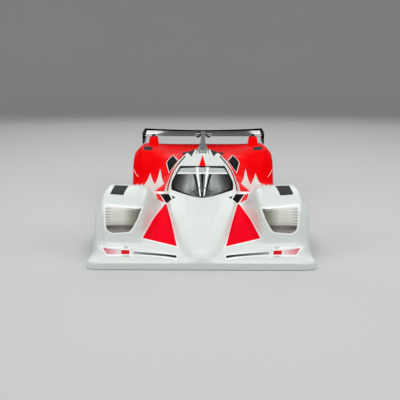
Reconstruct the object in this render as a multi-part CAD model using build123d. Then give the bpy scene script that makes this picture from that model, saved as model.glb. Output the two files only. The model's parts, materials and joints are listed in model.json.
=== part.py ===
"""Radio-controlled model of a closed sports prototype race car, 1:12, in millimetres.

The front of the car faces -Y, +X is its left side and Z is up from the ground.
The origin is on the ground under the middle of the overall length.
A station is the distance behind the front lip. The tables of the shell, windows, fin and wing give
stations of the car at its own sizes; placed() stretches them when the wheelbase or an end changes.
"""

import math
import os

from build123d import *

# Overall sizes
WHEELBASE = 198.0
FRONT_AXLE_STATION = 76.0
REAR_AXLE_STATION = FRONT_AXLE_STATION + WHEELBASE

# Body shell
SHELL_WALL = 1.2
SHELL_END = 330.0
ARCH_RADIUS = 25.5
ARCH_INNER_X = 62.0
INNER_DEPTH = 3.0
REAR_OPENING_X = 52.0
REAR_OPENING_TOP = 34.0

# Wheels: foam tyres glued on plastic rims
FRONT_TYRE_RADIUS = 21.0
REAR_TYRE_RADIUS = 21.5
RIM_RADIUS = 15.5
RIM_WALL = 1.4
RIM_WEB = 2.0
FRONT_WHEEL_WIDTH = 20.0
REAR_WHEEL_WIDTH = 29.0
FRONT_WHEEL_INNER_X = 64.0
REAR_WHEEL_INNER_X = 50.0
HUB_RADIUS = 5.0
DISH_DEPTH = 4.0
WINDOW_COUNT = 5
WINDOW_CORNERS = [(6.9, -0.3), (12.5, -0.42), (12.5, 0.42), (6.9, 0.3)]
TYRE_EDGE = 1.0

# Axles
STUB_RADIUS = 1.5875
REAR_AXLE_RADIUS = 3.175
RUNNING_GAP = 0.05
NUT_RADIUS = 3.2
NUT_LENGTH = 2.6
END_GAP = 0.3

# Chassis plates
PLATE_BOTTOM = 4.5
PLATE_THICK = 2.5
PLATE_TOP = PLATE_BOTTOM + PLATE_THICK
POD_START = REAR_AXLE_STATION - 32.0
POD_END = REAR_AXLE_STATION + 30.0
POD_HALF = 44.0
PLATE_NOSE = FRONT_AXLE_STATION - 28.0
PLATE_END = POD_START - 4.0
PLATE_HALF = 46.0
PLATE_NOSE_HALF = 27.0
PLATE_WAIST = 115.0
FIXING_RADIUS = 1.6
FIXING_SPACING = 50.0
FIXING_STATION = PLATE_END - 16.0
LINK_X = (38.5, 42.5)
LINK_HEIGHT = 3.5
LINK_REACH = (46.0, 8.0)

# Posts that carry the shell, with a magnet on each, as (end, x, station)
POST_RADIUS = 3.0
MAGNET_LENGTH = 4.0
POSTS = (("front", 16.0, FRONT_AXLE_STATION - 20.0), ("rear", 28.0, REAR_AXLE_STATION + 22.0))

# Front suspension and steering
KINGPIN_X = 58.0
KINGPIN_RADIUS = 1.5
KINGPIN_GAP = 0.05
BOSS_RADIUS = 4.5
LOWER_BOSS_TOP = 13.7
ARM_THICK = 3.0
ARM_ROOT_X = 20.0
ARM_ROOT_HALF = 9.0
UPRIGHT_X = 45.0
UPRIGHT_THICK = 4.0
KNUCKLE_BOTTOM = 14.0
KNUCKLE_TOP = 27.0
KNUCKLE_HALF = 4.6
STEERING_ARM = 14.0
STEERING_ARM_WIDTH = 6.0
STEERING_ARM_THICK = 2.5
STEERING_BALL_X = 57.0
TIE_ROD_SETBACK = 0.42
TIE_ROD_Z = 18.5
TIE_ROD_RADIUS = 1.5
BALL_PIN_RADIUS = 1.2
EYE_RADIUS = 2.3
EYE_WALL = 1.4
EYE_HALF_HEIGHT = 1.9
HORN_LENGTH = 10.0
HORN_THICK = 2.0
HORN_PIN_RADIUS = 1.0
HORN_SLOT_GAP = 0.5

# Drive
MOTOR_RADIUS = 18.0
MOTOR_LENGTH = 52.0
MOTOR_STATION = REAR_AXLE_STATION - 23.5
MOTOR_Z = 26.3
BULKHEAD_X = 33.0
BULKHEAD_THICK = 4.0
BULKHEAD_TOP = 37.0
SPUR_RADIUS = 17.4
PINION_RADIUS = 6.0
SPUR_INNER_X = 40.0
SPUR_WIDTH = 3.0
SPUR_HUB_RADIUS = 8.0
SHAFT_RADIUS = 1.5875
FLEX_PLATE = (24.0, 21.0, 1.6)
FLEX_PLATE_START = PLATE_END - 14.5

# Battery and steering servo, plain blocks
BATTERY = (47.0, 93.0, 18.5)
BATTERY_STATION = PLATE_END - 80.0
SERVO = (30.0, 14.0, 24.0)
SERVO_STATION = FRONT_AXLE_STATION + 28.0

# Wing and fin
WING_SPAN = 154.2
WING_SHEET = 1.3
WING_UNDERSIDE = [(321, 70.8), (328, 71.1), (337, 72.4), (346, 74.5), (355, 77)]
END_PLATE_THICK = 1.2
END_PLATE_OUTLINE = [(320, 61), (348, 61.5), (360, 68), (360, 76.4), (356, 79.2), (322, 76.6), (320, 75)]
TOWER_X = (58.0, 70.0)
FIN_PLAN = [(3.6, 178), (5.7, 182), (2.8, 240), (2.6, 337)]
FIN_PROFILE = [(178, 60), (337, 50), (337, 76.4), (240, 73.2), (186, 71.4), (178, 69.6)]
FIN_SLOT_GAP = 0.2

# The axles, shell end and rearmost point of the car in the tables that follow
TABLE_AXLES = (76.0, 274.0)
TABLE_SHELL_END = 330.0
TABLE_END = 360.0

# Feature lines of the shell. Each has rows of (station, half width, height).
CROWN = [(0, 0, 5.4), (2, 0, 9), (8, 0, 14), (14, 0, 17), (25, 0, 21.2), (45, 0, 27), (76, 0, 33.4),
         (97, 0, 37), (120, 0, 45), (150, 0, 57.6), (165, 0, 64.8), (182, 0, 70.4), (192, 0, 70.2),
         (205, 0, 68.6), (225, 0, 65), (265, 0, 58.8), (300, 0, 56.4), (314, 0, 57), (330, 0, 60.8)]
CROWN_EDGE = [(0, 6, 5.4), (2, 4.5, 8.4), (8, 8, 12.8), (14, 10.5, 15.6), (25, 14, 19.8), (45, 19, 25.2),
              (76, 25, 31.6), (97, 27.5, 35), (120, 28.2, 40.6), (135, 26.8, 48), (150, 23.4, 56.2),
              (165, 18.2, 63.2), (182, 11.5, 69.4), (205, 10.5, 67.6), (225, 11.5, 63.8), (265, 14, 58.4),
              (300, 14, 56.3), (314, 14, 56.9), (330, 14, 60.7)]
POD_SHOULDER = [(0, 9, 5.4), (2, 7.5, 7.6), (8, 11, 10.6), (14, 14, 13.4), (25, 17.5, 17), (45, 22.5, 22),
                (76, 28.5, 28.8), (97, 31, 32.4), (120, 33.4, 37.6), (135, 33.9, 44.2), (150, 31.2, 52.6),
                (165, 27.4, 60), (182, 19.7, 65.2), (205, 18, 62.6), (225, 19.5, 59.4), (265, 23, 57.6),
                (300, 23, 56.2), (314, 23, 56.8), (330, 23, 60.6)]
POD_FOOT = [(0, 12, 5.4), (2, 11, 7), (8, 14, 8.8), (14, 17, 10.8), (25, 20.5, 13.4), (45, 25.5, 17.6),
            (76, 31, 24.2), (97, 33.6, 28), (120, 36, 33.4), (150, 36, 36.6), (182, 34, 38), (205, 31, 42),
            (220, 30, 47.5), (235, 30, 52.4), (250, 30.5, 55.4), (265, 31, 56.6), (300, 31, 56),
            (314, 31, 56.8), (330, 31, 60.6)]
VALLEY_OUTER = [(0, 26, 5.4), (2, 26, 6.9), (8, 30, 8.2), (14, 34, 12.2), (18, 42, 13.8), (25, 46.5, 15.6),
                (45, 43.5, 18.6), (76, 38.5, 24.8), (97, 38.2, 28.4), (120, 41, 33), (150, 44, 33.6),
                (180, 44, 32.6), (205, 43, 35), (220, 41.5, 42), (235, 41, 48.8), (250, 42, 54),
                (265, 44, 56.4), (300, 45, 56.4), (314, 45, 57.2), (330, 45, 60.8)]
FENDER_INNER = [(0, 48, 5.4), (2, 48, 6.9), (8, 48, 8.2), (14, 51, 13.8), (18, 55.5, 16), (22, 52, 28.5),
                (28, 48, 40.5), (40, 45.6, 45.6), (58, 45.4, 49.8), (72, 46, 51.6), (85, 47.4, 50.2),
                (100, 49.4, 46.4), (120, 52, 39), (150, 54, 31.6), (180, 55, 29.6), (205, 55, 30.4),
                (220, 52, 36.4), (235, 52, 44), (250, 54, 53), (265, 56, 58.8), (280, 57, 60.8),
                (310, 57, 60), (330, 57, 61)]
FENDER_OUTER = [(0, 64, 5.4), (2, 66, 6.9), (8, 69, 8.2), (14, 71, 14.6), (18, 75, 16.4), (22, 77.4, 28.8),
                (28, 79, 41.4), (40, 79.6, 48.4), (58, 79.6, 52), (72, 79.6, 52.7), (85, 79.6, 51),
                (100, 79.2, 46.6), (120, 77, 37.8), (150, 71, 28), (180, 68.5, 26), (205, 68, 26),
                (220, 67.5, 27.6), (235, 68.5, 34.5), (250, 71, 49), (265, 74, 59.6), (280, 75, 63.8),
                (310, 75, 62.6), (330, 74.4, 61.6)]
OUTER_SHOULDER = [(0, 70, 5.3), (2, 73, 6.8), (8, 76, 7.8), (14, 80, 12.5), (18, 82, 13.6), (22, 83.2, 20),
                  (28, 84.9, 31.5), (40, 86.7, 41), (58, 87.4, 43.5), (72, 87.4, 43.8), (85, 86.9, 42.4),
                  (100, 85.6, 38.6), (120, 83.4, 31.6), (150, 80, 24.8), (180, 78, 23), (220, 77.6, 22.4),
                  (235, 79, 25.6), (245, 81, 33.5), (255, 82.6, 43), (265, 83, 50), (280, 82.8, 55),
                  (330, 81, 52.4)]
SIDE_FOOT = [(0, 74, 5.2), (2, 77.5, 6.5), (8, 81, 7.4), (14, 84, 8.4), (20, 84.8, 10), (28, 86.2, 15),
             (40, 87.8, 20), (58, 88.4, 23), (95, 87.6, 23), (120, 85.4, 20), (150, 83, 16), (205, 81.6, 14),
             (235, 82, 17), (250, 83, 26), (280, 84, 28), (330, 82.2, 28)]
SILL = [(0, 79, 4.4), (2, 84.8, 5.6), (6, 88.2, 5.8), (14, 86.8, 7), (20, 86.2, 8), (28, 87.2, 9.4),
        (38, 88.8, 10.4), (58, 88.8, 10.4), (95, 88.2, 9), (150, 84, 7), (235, 82.8, 7), (280, 84.2, 9),
        (330, 82.4, 13)]
BOTTOM_EDGE = [(0, 79.4, 0.4), (2, 85.2, 0.4), (6, 88.6, 0.4), (14, 88.2, 0.4), (25, 88, 0.8), (38, 89, 1.6),
               (58, 89, 2.4), (95, 88.4, 3), (150, 84.2, 3), (235, 83, 3), (280, 84.4, 4), (330, 82.6, 9)]
FEATURE_LINES = (CROWN, CROWN_EDGE, POD_SHOULDER, POD_FOOT, VALLEY_OUTER, FENDER_INNER, FENDER_OUTER,
                 OUTER_SHOULDER, SIDE_FOOT, SILL, BOTTOM_EDGE)
STATIONS = (0, 2, 8, 14, 18, 22, 28, 40, 58, 72, 85, 100, 120, 135, 150, 165, 182, 205, 220, 235, 250,
            265, 280, 314, TABLE_SHELL_END)

# Outlines on the shell, (half width, station) from above and (half width, height) from the front
WINDSCREEN_OUTLINE = [(0, 97.8), (13.3, 104.5), (28.6, 119.8), (30, 126.5), (29.6, 132.5), (26.8, 141),
                      (23, 151.6), (12, 149.3), (0, 148.4)]
HEADLIGHT_OUTLINE = [(76.4, 42.6), (49.4, 39.4), (50.8, 33.4), (54.1, 27.6), (56.6, 24.4), (70.3, 23.5),
                     (73.8, 25.2), (75.3, 28.1)]


def placed(station):
    """Where a station of the tables lies on the car."""
    front, rear = TABLE_AXLES
    if station <= front:
        return station * FRONT_AXLE_STATION / front
    if station <= rear:
        return FRONT_AXLE_STATION + (station - front) * WHEELBASE / (rear - front)
    return REAR_AXLE_STATION + (station - rear) * (SHELL_END - REAR_AXLE_STATION) / (TABLE_SHELL_END - rear)


def slope_at(points, index, axis):
    """Slope of a feature line at one of its rows, limited so that the curve never overshoots."""
    last = len(points) - 1
    before = after = None
    if index > 0:
        before = ((points[index][axis] - points[index - 1][axis])
                  / (points[index][0] - points[index - 1][0]))
    if index < last:
        after = ((points[index + 1][axis] - points[index][axis])
                 / (points[index + 1][0] - points[index][0]))
    if before is None or after is None:
        return after if before is None else before
    if before * after <= 0:
        return 0.0
    return 2 * before * after / (before + after)


def on_line(points, station, axis):
    """Half width (axis 1) or height (axis 2) of a feature line at a station, as a smooth cubic."""
    index = 0
    while index < len(points) - 2 and station > points[index + 1][0]:
        index += 1
    start, end = points[index], points[index + 1]
    span = end[0] - start[0]
    t = (station - start[0]) / span
    low, high = slope_at(points, index, axis), slope_at(points, index + 1, axis)
    return ((2 * t**3 - 3 * t**2 + 1) * start[axis] + (t**3 - 2 * t**2 + t) * span * low
            + (3 * t**2 - 2 * t**3) * end[axis] + (t**3 - t**2) * span * high)


def half_section(station):
    """The right-hand half of the shell's section, from the crown to the bottom edge."""
    return [(on_line(line, station, 1), on_line(line, station, 2)) for line in FEATURE_LINES]


def offset_inward(points, distance):
    """Moves each point of a half section inward, square to its two neighbouring edges."""
    moved = []
    for index, (x, z) in enumerate(points):
        normals = []
        for a, b in ((index - 1, index), (index, index + 1)):
            if a < 0 or b >= len(points):
                continue
            dx, dz = points[b][0] - points[a][0], points[b][1] - points[a][1]
            length = math.hypot(dx, dz)
            normals.append((dz / length, -dx / length))
        if index == 0:
            normals = [(0.0, -1.0)]
        nx = sum(n[0] for n in normals)
        nz = sum(n[1] for n in normals)
        size = math.hypot(nx, nz)
        nx, nz = nx / size, nz / size
        stretch = 1 / max(0.6, nx * normals[0][0] + nz * normals[0][1])
        moved.append((x + nx * distance * stretch, z + nz * distance * stretch))
    return moved


def at(station):
    """The y coordinate of a station."""
    return station - placed(TABLE_END) / 2


def section_face(points, y):
    """A closed face across the car from a half section, mirrored."""
    left = [(x, y, z) for x, z in points]
    right = [(-x, y, z) for x, z in reversed(points[1:])]
    return make_face(Polyline(*(right + left), close=True))


def shell_core(inner):
    """The closed solid inside the shell's outer surface, or inside its inner surface."""
    faces = []
    for station in STATIONS:
        points = half_section(station)
        place = placed(station)
        if inner:
            points = offset_inward(points, SHELL_WALL)
            points[-1] = (points[-1][0], -INNER_DEPTH)
            if station <= TABLE_AXLES[0]:
                place += SHELL_WALL
            elif station >= TABLE_SHELL_END:
                place -= SHELL_WALL
        faces.append(section_face(points, at(place)))
    return loft(faces, ruled=True)


def cylinder_x(radius, x0, x1, station, z):
    """A cylinder along X between two x values."""
    plane = Plane(origin=(x0, at(station), z), x_dir=(0, 1, 0), z_dir=(1, 0, 0))
    return plane * Cylinder(radius, x1 - x0, align=(Align.CENTER, Align.CENTER, Align.MIN))


def cylinder_y(radius, x, station0, station1, z):
    """A cylinder along Y between two stations."""
    plane = Plane(origin=(x, at(station0), z), x_dir=(1, 0, 0), z_dir=(0, 1, 0))
    return plane * Cylinder(radius, station1 - station0, align=(Align.CENTER, Align.CENTER, Align.MIN))


def cylinder_z(radius, x, station, z0, z1):
    """A cylinder along Z between two heights."""
    place = Pos(x, at(station), z0)
    return place * Cylinder(radius, z1 - z0, align=(Align.CENTER, Align.CENTER, Align.MIN))


def block(x0, x1, station0, station1, z0, z1):
    """A box between two corners."""
    return Pos((x0 + x1) / 2, (at(station0) + at(station1)) / 2, (z0 + z1) / 2) * Box(
        abs(x1 - x0), abs(station1 - station0), abs(z1 - z0))


def plan_prism(outline, z0, z1):
    """A prism from an outline of (x, station) points, seen from above."""
    face = make_face(Polyline(*[(x, at(s), z0) for x, s in outline], close=True))
    return extrude(face, z1 - z0, dir=(0, 0, 1))


def front_prism(outline, station0, station1):
    """A prism from an outline of (x, z) points, seen from the front."""
    face = make_face(Polyline(*[(x, at(station0), z) for x, z in outline], close=True))
    return extrude(face, station1 - station0, dir=(0, 1, 0))


def side_prism(outline, x0, x1):
    """A prism from an outline of (station, z) points, seen from the side."""
    face = make_face(Polyline(*[(x0, at(s), z) for s, z in outline], close=True))
    return extrude(face, x1 - x0, dir=(1, 0, 0))


def both_sides(outline):
    """A closed outline from its right-hand half of (x, station) points, with the stations placed."""
    half = [(x, placed(s)) for x, s in outline]
    return half + [(-x, s) for x, s in reversed(half) if x]


def placed_profile(profile):
    """A side profile of (station, z) points with the stations placed."""
    return [(placed(s), z) for s, z in profile]


def mirrored(shape):
    """The same shape on the car's other side."""
    return mirror(shape, about=Plane.YZ)


PARTS = {}


def keep(name, shape):
    """Stores a sub-part under its node name."""
    PARTS[name] = shape


def make_shell():
    """The painted shell with its towers, and the clear windows cut out of it."""
    outer, inner = shell_core(False), shell_core(True)
    shell = outer - inner
    for station, radius in ((FRONT_AXLE_STATION, FRONT_TYRE_RADIUS), (REAR_AXLE_STATION, REAR_TYRE_RADIUS)):
        arch = cylinder_x(ARCH_RADIUS, ARCH_INNER_X, 100, station, radius)
        arch += block(ARCH_INNER_X, 100, station - ARCH_RADIUS, station + ARCH_RADIUS, -INNER_DEPTH, radius)
        shell = shell - arch - mirrored(arch)
    shell = shell - block(-REAR_OPENING_X, REAR_OPENING_X, SHELL_END - 10, SHELL_END + 10,
                          -INNER_DEPTH, REAR_OPENING_TOP)
    screen = plan_prism(both_sides(WINDSCREEN_OUTLINE), 34, 90)
    keep("windscreen", shell & screen)
    shell = shell - screen
    lamp = front_prism(HEADLIGHT_OUTLINE, placed(19.5), placed(36))
    keep("headlight_left", shell & lamp)
    keep("headlight_right", shell & mirrored(lamp))
    shell = shell - lamp - mirrored(lamp)
    front, rear = WING_UNDERSIDE[:2]
    foot = [(314, 40), (330, 40)]
    tower = side_prism(placed_profile([*foot, rear, front, (319.5, front[1])]), *TOWER_X)
    tower -= outer
    shell = shell + tower + mirrored(tower)
    keep("body_shell", shell)
    fin = plan_prism(both_sides(FIN_PLAN), 50, 90)
    half = FIN_PLAN[1][0]
    keep("shark_fin", (fin & side_prism(placed_profile(FIN_PROFILE), -half, half)) - outer)
    return inner


def make_wing():
    """The wing blade, slotted round the fin and seated on the towers, with its end plates."""
    half = WING_SPAN / 2
    underside = placed_profile(WING_UNDERSIDE)
    top = [(s - WING_SHEET / 4, z + WING_SHEET) for s, z in reversed(underside)]
    blade = side_prism(underside + top, -half, half)
    fin_half, fin_end = FIN_PLAN[-1][0], placed(FIN_PLAN[-1][1])
    slot = fin_half + FIN_SLOT_GAP
    keep("wing_blade", blade - block(-slot, slot, fin_end - 40, fin_end + FIN_SLOT_GAP, 60, 90))
    plate = side_prism(placed_profile(END_PLATE_OUTLINE), half, half + END_PLATE_THICK)
    keep("wing_end_plate_left", plate)
    keep("wing_end_plate_right", mirrored(plate))


def make_wheel(side, front):
    """A rim with its hub and windows, and the foam tyre on it."""
    inner_x = FRONT_WHEEL_INNER_X if front else REAR_WHEEL_INNER_X
    width = FRONT_WHEEL_WIDTH if front else REAR_WHEEL_WIDTH
    station = FRONT_AXLE_STATION if front else REAR_AXLE_STATION
    radius = FRONT_TYRE_RADIUS if front else REAR_TYRE_RADIUS
    bore = STUB_RADIUS if front else REAR_AXLE_RADIUS
    outer_x = inner_x + width
    clamped = side == "left" and not front
    bore_radius = bore if clamped else bore + RUNNING_GAP
    web_x = outer_x - DISH_DEPTH - RIM_WEB
    rim = cylinder_x(RIM_RADIUS, inner_x, outer_x, station, radius)
    rim -= cylinder_x(RIM_RADIUS - RIM_WALL, inner_x - 1, web_x, station, radius)
    rim -= cylinder_x(RIM_RADIUS - RIM_WALL, web_x + RIM_WEB, outer_x + 1, station, radius)
    hub_start = KINGPIN_X + KNUCKLE_HALF + END_GAP if front else inner_x
    rim += cylinder_x(HUB_RADIUS, hub_start, web_x + RIM_WEB, station, radius)
    rim -= cylinder_x(bore_radius, hub_start - 1, outer_x + 1, station, radius)
    for index in range(WINDOW_COUNT):
        turn = 2 * math.pi * (index + 0.25) / WINDOW_COUNT
        corners = [(station + reach * math.cos(turn + angle), radius + reach * math.sin(turn + angle))
                   for reach, angle in WINDOW_CORNERS]
        rim -= side_prism(corners, web_x - 1, web_x + RIM_WEB + 1)
    tyre = cylinder_x(radius, inner_x, outer_x, station, radius)
    tyre = chamfer(tyre.edges().filter_by(GeomType.CIRCLE), TYRE_EDGE)
    tyre -= cylinder_x(RIM_RADIUS, inner_x - 1, outer_x + 1, station, radius)
    end = "front" if front else "rear"
    if side == "right":
        rim, tyre = mirrored(rim), mirrored(tyre)
    keep(f"{end}_rim_{side}", rim)
    keep(f"{end}_tyre_{side}", tyre)


def make_front_end():
    """Arms, kingpins, steering knuckles with stub axles, tie rod and servo horn."""
    station, axle_z = FRONT_AXLE_STATION, FRONT_TYRE_RADIUS
    upper_z = KNUCKLE_TOP + END_GAP
    arm = plan_prism([(ARM_ROOT_X, station - ARM_ROOT_HALF), (KINGPIN_X, station - BOSS_RADIUS),
                      (KINGPIN_X, station + BOSS_RADIUS), (ARM_ROOT_X, station + ARM_ROOT_HALF)],
                     PLATE_TOP, PLATE_TOP + ARM_THICK)
    arm += cylinder_z(BOSS_RADIUS, KINGPIN_X, station, PLATE_TOP, LOWER_BOSS_TOP)
    arm += block(UPRIGHT_X, UPRIGHT_X + UPRIGHT_THICK, station - 5, station + 5,
                 PLATE_TOP, upper_z + ARM_THICK)
    arm += block(UPRIGHT_X, KINGPIN_X, station - BOSS_RADIUS, station + BOSS_RADIUS,
                 upper_z, upper_z + ARM_THICK)
    arm += cylinder_z(BOSS_RADIUS, KINGPIN_X, station, upper_z, upper_z + ARM_THICK)
    pin = cylinder_z(KINGPIN_RADIUS, KINGPIN_X, station, PLATE_TOP + 1, upper_z + ARM_THICK)
    arm -= pin
    ball_station = station + STEERING_ARM
    knuckle = block(KINGPIN_X - KNUCKLE_HALF, KINGPIN_X + KNUCKLE_HALF, station - KNUCKLE_HALF,
                    station + KNUCKLE_HALF, KNUCKLE_BOTTOM, KNUCKLE_TOP)
    half = STEERING_ARM_WIDTH / 2
    knuckle += block(STEERING_BALL_X - half, STEERING_BALL_X + half, station, ball_station + half,
                     KNUCKLE_BOTTOM, KNUCKLE_BOTTOM + STEERING_ARM_THICK)
    knuckle -= cylinder_z(KINGPIN_RADIUS + KINGPIN_GAP, KINGPIN_X, station, 0, 40)
    knuckle += cylinder_z(BALL_PIN_RADIUS, STEERING_BALL_X, ball_station, KNUCKLE_BOTTOM + 2, TIE_ROD_Z + 2.2)
    hub_end = FRONT_WHEEL_INNER_X + FRONT_WHEEL_WIDTH - DISH_DEPTH + END_GAP
    axle = cylinder_x(STUB_RADIUS, KINGPIN_X + KNUCKLE_HALF, hub_end + NUT_LENGTH, station, axle_z)
    axle += cylinder_x(NUT_RADIUS, hub_end, hub_end + NUT_LENGTH, station, axle_z)
    for name, piece in (("front_arm", arm), ("kingpin", pin), ("knuckle", knuckle), ("stub_axle", axle)):
        keep(f"{name}_left", piece)
        keep(f"{name}_right", mirrored(piece))
    make_steering(ball_station - TIE_ROD_SETBACK)


def make_steering(station):
    """The tie rod, driven through a slotted lug by the pin of the servo's horn."""
    eye_outer = EYE_RADIUS + EYE_WALL
    rod = cylinder_x(TIE_ROD_RADIUS, -STEERING_BALL_X, STEERING_BALL_X, station, TIE_ROD_Z)
    for x in (-STEERING_BALL_X, STEERING_BALL_X):
        rod += cylinder_z(eye_outer, x, station, TIE_ROD_Z - EYE_HALF_HEIGHT, TIE_ROD_Z + EYE_HALF_HEIGHT)
    slot_x = HORN_PIN_RADIUS + HORN_SLOT_GAP
    slot_z = (TIE_ROD_Z - slot_x, TIE_ROD_Z + slot_x + HORN_LENGTH / 8)
    lug = (slot_x + 2, 1.9, 2.2)
    rod += block(-lug[0], lug[0], station - lug[1], station + lug[1], slot_z[0] - lug[2], slot_z[1] + lug[2])
    rod -= block(-slot_x, slot_x, station - 5, station + 5, *slot_z)
    for x in (-STEERING_BALL_X, STEERING_BALL_X):
        rod -= cylinder_z(EYE_RADIUS, x, station, TIE_ROD_Z - 5, TIE_ROD_Z + 5)
    keep("tie_rod", rod)
    front_face = SERVO_STATION - SERVO[1] / 2
    back = front_face - END_GAP - HORN_THICK
    shaft_z = TIE_ROD_Z + HORN_LENGTH
    horn = block(-2, 2, back, back + HORN_THICK, TIE_ROD_Z - 1.4, shaft_z)
    horn += cylinder_y(3.4, 0, back, back + HORN_THICK, shaft_z)
    horn += cylinder_y(HORN_PIN_RADIUS, 0, station - lug[1] - 0.8, back + 1, TIE_ROD_Z)
    horn -= cylinder_y(STUB_RADIUS + RUNNING_GAP, 0, back - 5, front_face, shaft_z)
    keep("servo_horn", horn)
    width, length, height = SERVO
    servo = block(-width / 2, width / 2, front_face, front_face + length, PLATE_TOP, PLATE_TOP + height)
    servo += cylinder_y(STUB_RADIUS, 0, back - 0.6, front_face + 1, shaft_z)
    keep("servo", servo)


def make_rear_end():
    """Pod plate, bulkheads, motor, axle, spur gear and side links."""
    station, axle_z = REAR_AXLE_STATION, REAR_TYRE_RADIUS
    plate_x = BULKHEAD_X + BULKHEAD_THICK
    half = [(POD_HALF, POD_START), (POD_HALF, POD_START + 10), (plate_x, POD_START + 12), (plate_x, POD_END)]
    pod = plan_prism(half + [(-x, s) for x, s in reversed(half)], PLATE_BOTTOM, PLATE_TOP)
    keep("pod_plate", pod)
    width, length, thick = FLEX_PLATE
    keep("flex_plate", block(-width / 2, width / 2, FLEX_PLATE_START, FLEX_PLATE_START + length,
                             PLATE_TOP, PLATE_TOP + thick))
    front = POD_START + 1
    outline = [(front, PLATE_TOP), (station + 14, PLATE_TOP), (station + 14, axle_z + 4.5),
               (station + 8, axle_z + 10.5), (station - 12, BULKHEAD_TOP), (front, BULKHEAD_TOP)]
    for side, sign in (("left", 1), ("right", -1)):
        x0, x1 = sorted((sign * BULKHEAD_X, sign * plate_x))
        bulkhead = side_prism(outline, x0, x1)
        bulkhead -= cylinder_x(REAR_AXLE_RADIUS + RUNNING_GAP, x0 - 1, x1 + 1, station, axle_z)
        if sign < 0:
            bulkhead -= cylinder_x(SHAFT_RADIUS + 1, x0 - 1, x1 + 1, MOTOR_STATION, MOTOR_Z)
        keep(f"bulkhead_{side}", bulkhead)
        link = block(sign * LINK_X[0], sign * LINK_X[1], POD_START - LINK_REACH[0], POD_START + LINK_REACH[1],
                     PLATE_TOP, PLATE_TOP + LINK_HEIGHT)
        keep(f"side_link_{side}", link)
    motor = cylinder_x(MOTOR_RADIUS, -BULKHEAD_X, MOTOR_LENGTH - BULKHEAD_X, MOTOR_STATION, MOTOR_Z)
    gear_end = -SPUR_INNER_X - SPUR_WIDTH - 1
    motor += cylinder_x(SHAFT_RADIUS, gear_end, -BULKHEAD_X, MOTOR_STATION, MOTOR_Z)
    motor += cylinder_x(PINION_RADIUS, gear_end, gear_end + SPUR_WIDTH + 2, MOTOR_STATION, MOTOR_Z)
    keep("motor", motor)
    hub_end = REAR_WHEEL_INNER_X + REAR_WHEEL_WIDTH - DISH_DEPTH
    axle = cylinder_x(REAR_AXLE_RADIUS, -hub_end - END_GAP, hub_end, station, axle_z)
    axle += cylinder_x(NUT_RADIUS + 2, hub_end, hub_end + NUT_LENGTH, station, axle_z)
    axle += cylinder_x(NUT_RADIUS + 2, -hub_end - END_GAP - NUT_LENGTH, -hub_end - END_GAP, station, axle_z)
    keep("rear_axle", axle)
    spur = cylinder_x(SPUR_RADIUS, -SPUR_INNER_X - SPUR_WIDTH, -SPUR_INNER_X, station, axle_z)
    spur += cylinder_x(SPUR_HUB_RADIUS, -REAR_WHEEL_INNER_X + END_GAP, -SPUR_INNER_X + 1, station, axle_z)
    spur -= cylinder_x(REAR_AXLE_RADIUS, -60, -30, station, axle_z)
    keep("spur_gear", spur)


def make_chassis(inner):
    """Main plate, battery, servo and the posts with magnets that carry the shell."""
    half = [(PLATE_NOSE_HALF - 5, PLATE_NOSE), (PLATE_NOSE_HALF, PLATE_NOSE + 12),
            (PLATE_NOSE_HALF, PLATE_WAIST - 20), (PLATE_HALF, PLATE_WAIST),
            (PLATE_HALF, PLATE_END - 23), (PLATE_HALF - 2, PLATE_END)]
    plate = plan_prism(half + [(-x, s) for x, s in reversed(half)], PLATE_BOTTOM, PLATE_TOP)
    for x in (-FIXING_SPACING / 2, FIXING_SPACING / 2):
        plate -= cylinder_z(FIXING_RADIUS, x, FIXING_STATION, 0, 20)
    keep("chassis_plate", plate)
    width, length, height = BATTERY
    keep("battery", block(-width / 2, width / 2, BATTERY_STATION - length / 2, BATTERY_STATION + length / 2,
                          PLATE_TOP, PLATE_TOP + height))
    for end, x, station in POSTS:
        post = cylinder_z(POST_RADIUS, x, station, PLATE_TOP, 70) & inner
        cap = block(x - 5, x + 5, station - 5, station + 5, post.bounding_box().max.Z - MAGNET_LENGTH, 80)
        magnet = post & cap
        post = post - cap
        keep(f"body_posts_{end}", Compound([*post.solids(), *mirrored(post).solids()]))
        keep(f"magnets_{end}", Compound([*magnet.solids(), *mirrored(magnet).solids()]))


def main():
    inner = make_shell()
    make_wing()
    for side in ("left", "right"):
        for front in (True, False):
            make_wheel(side, front)
    make_front_end()
    make_rear_end()
    make_chassis(inner)
    os.makedirs("parts", exist_ok=True)
    for name, shape in PARTS.items():
        export_step(shape, f"parts/{name}.step")


main()
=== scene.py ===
import json
import math

import bmesh
import bpy
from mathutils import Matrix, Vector
from mathutils.bvhtree import BVHTree


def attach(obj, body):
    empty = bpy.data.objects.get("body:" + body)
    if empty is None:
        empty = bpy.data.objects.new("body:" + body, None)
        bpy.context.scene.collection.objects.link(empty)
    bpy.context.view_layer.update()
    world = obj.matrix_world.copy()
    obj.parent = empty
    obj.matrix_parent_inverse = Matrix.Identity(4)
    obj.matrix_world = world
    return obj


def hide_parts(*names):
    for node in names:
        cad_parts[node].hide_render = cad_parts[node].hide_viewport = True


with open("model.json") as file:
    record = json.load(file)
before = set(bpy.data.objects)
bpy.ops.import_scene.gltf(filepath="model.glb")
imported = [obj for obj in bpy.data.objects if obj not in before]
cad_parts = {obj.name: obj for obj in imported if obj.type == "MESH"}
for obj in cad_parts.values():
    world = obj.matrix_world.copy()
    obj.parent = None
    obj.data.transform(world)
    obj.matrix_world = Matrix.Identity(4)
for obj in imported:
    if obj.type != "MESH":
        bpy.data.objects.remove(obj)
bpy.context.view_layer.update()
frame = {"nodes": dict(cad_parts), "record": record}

MM = 0.001
HALF_LENGTH = 180.0
SHEET = 1.0
SHELL_END = 330.0
FRONT_AXLE = (76.0, 21.0)
REAR_AXLE = (274.0, 21.5)
ARCH_RADIUS = 25.5
ARCH_INNER_X = 62.0
ARCH_STEPS = 36
SIDES = (("left", 1), ("right", -1))
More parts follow.
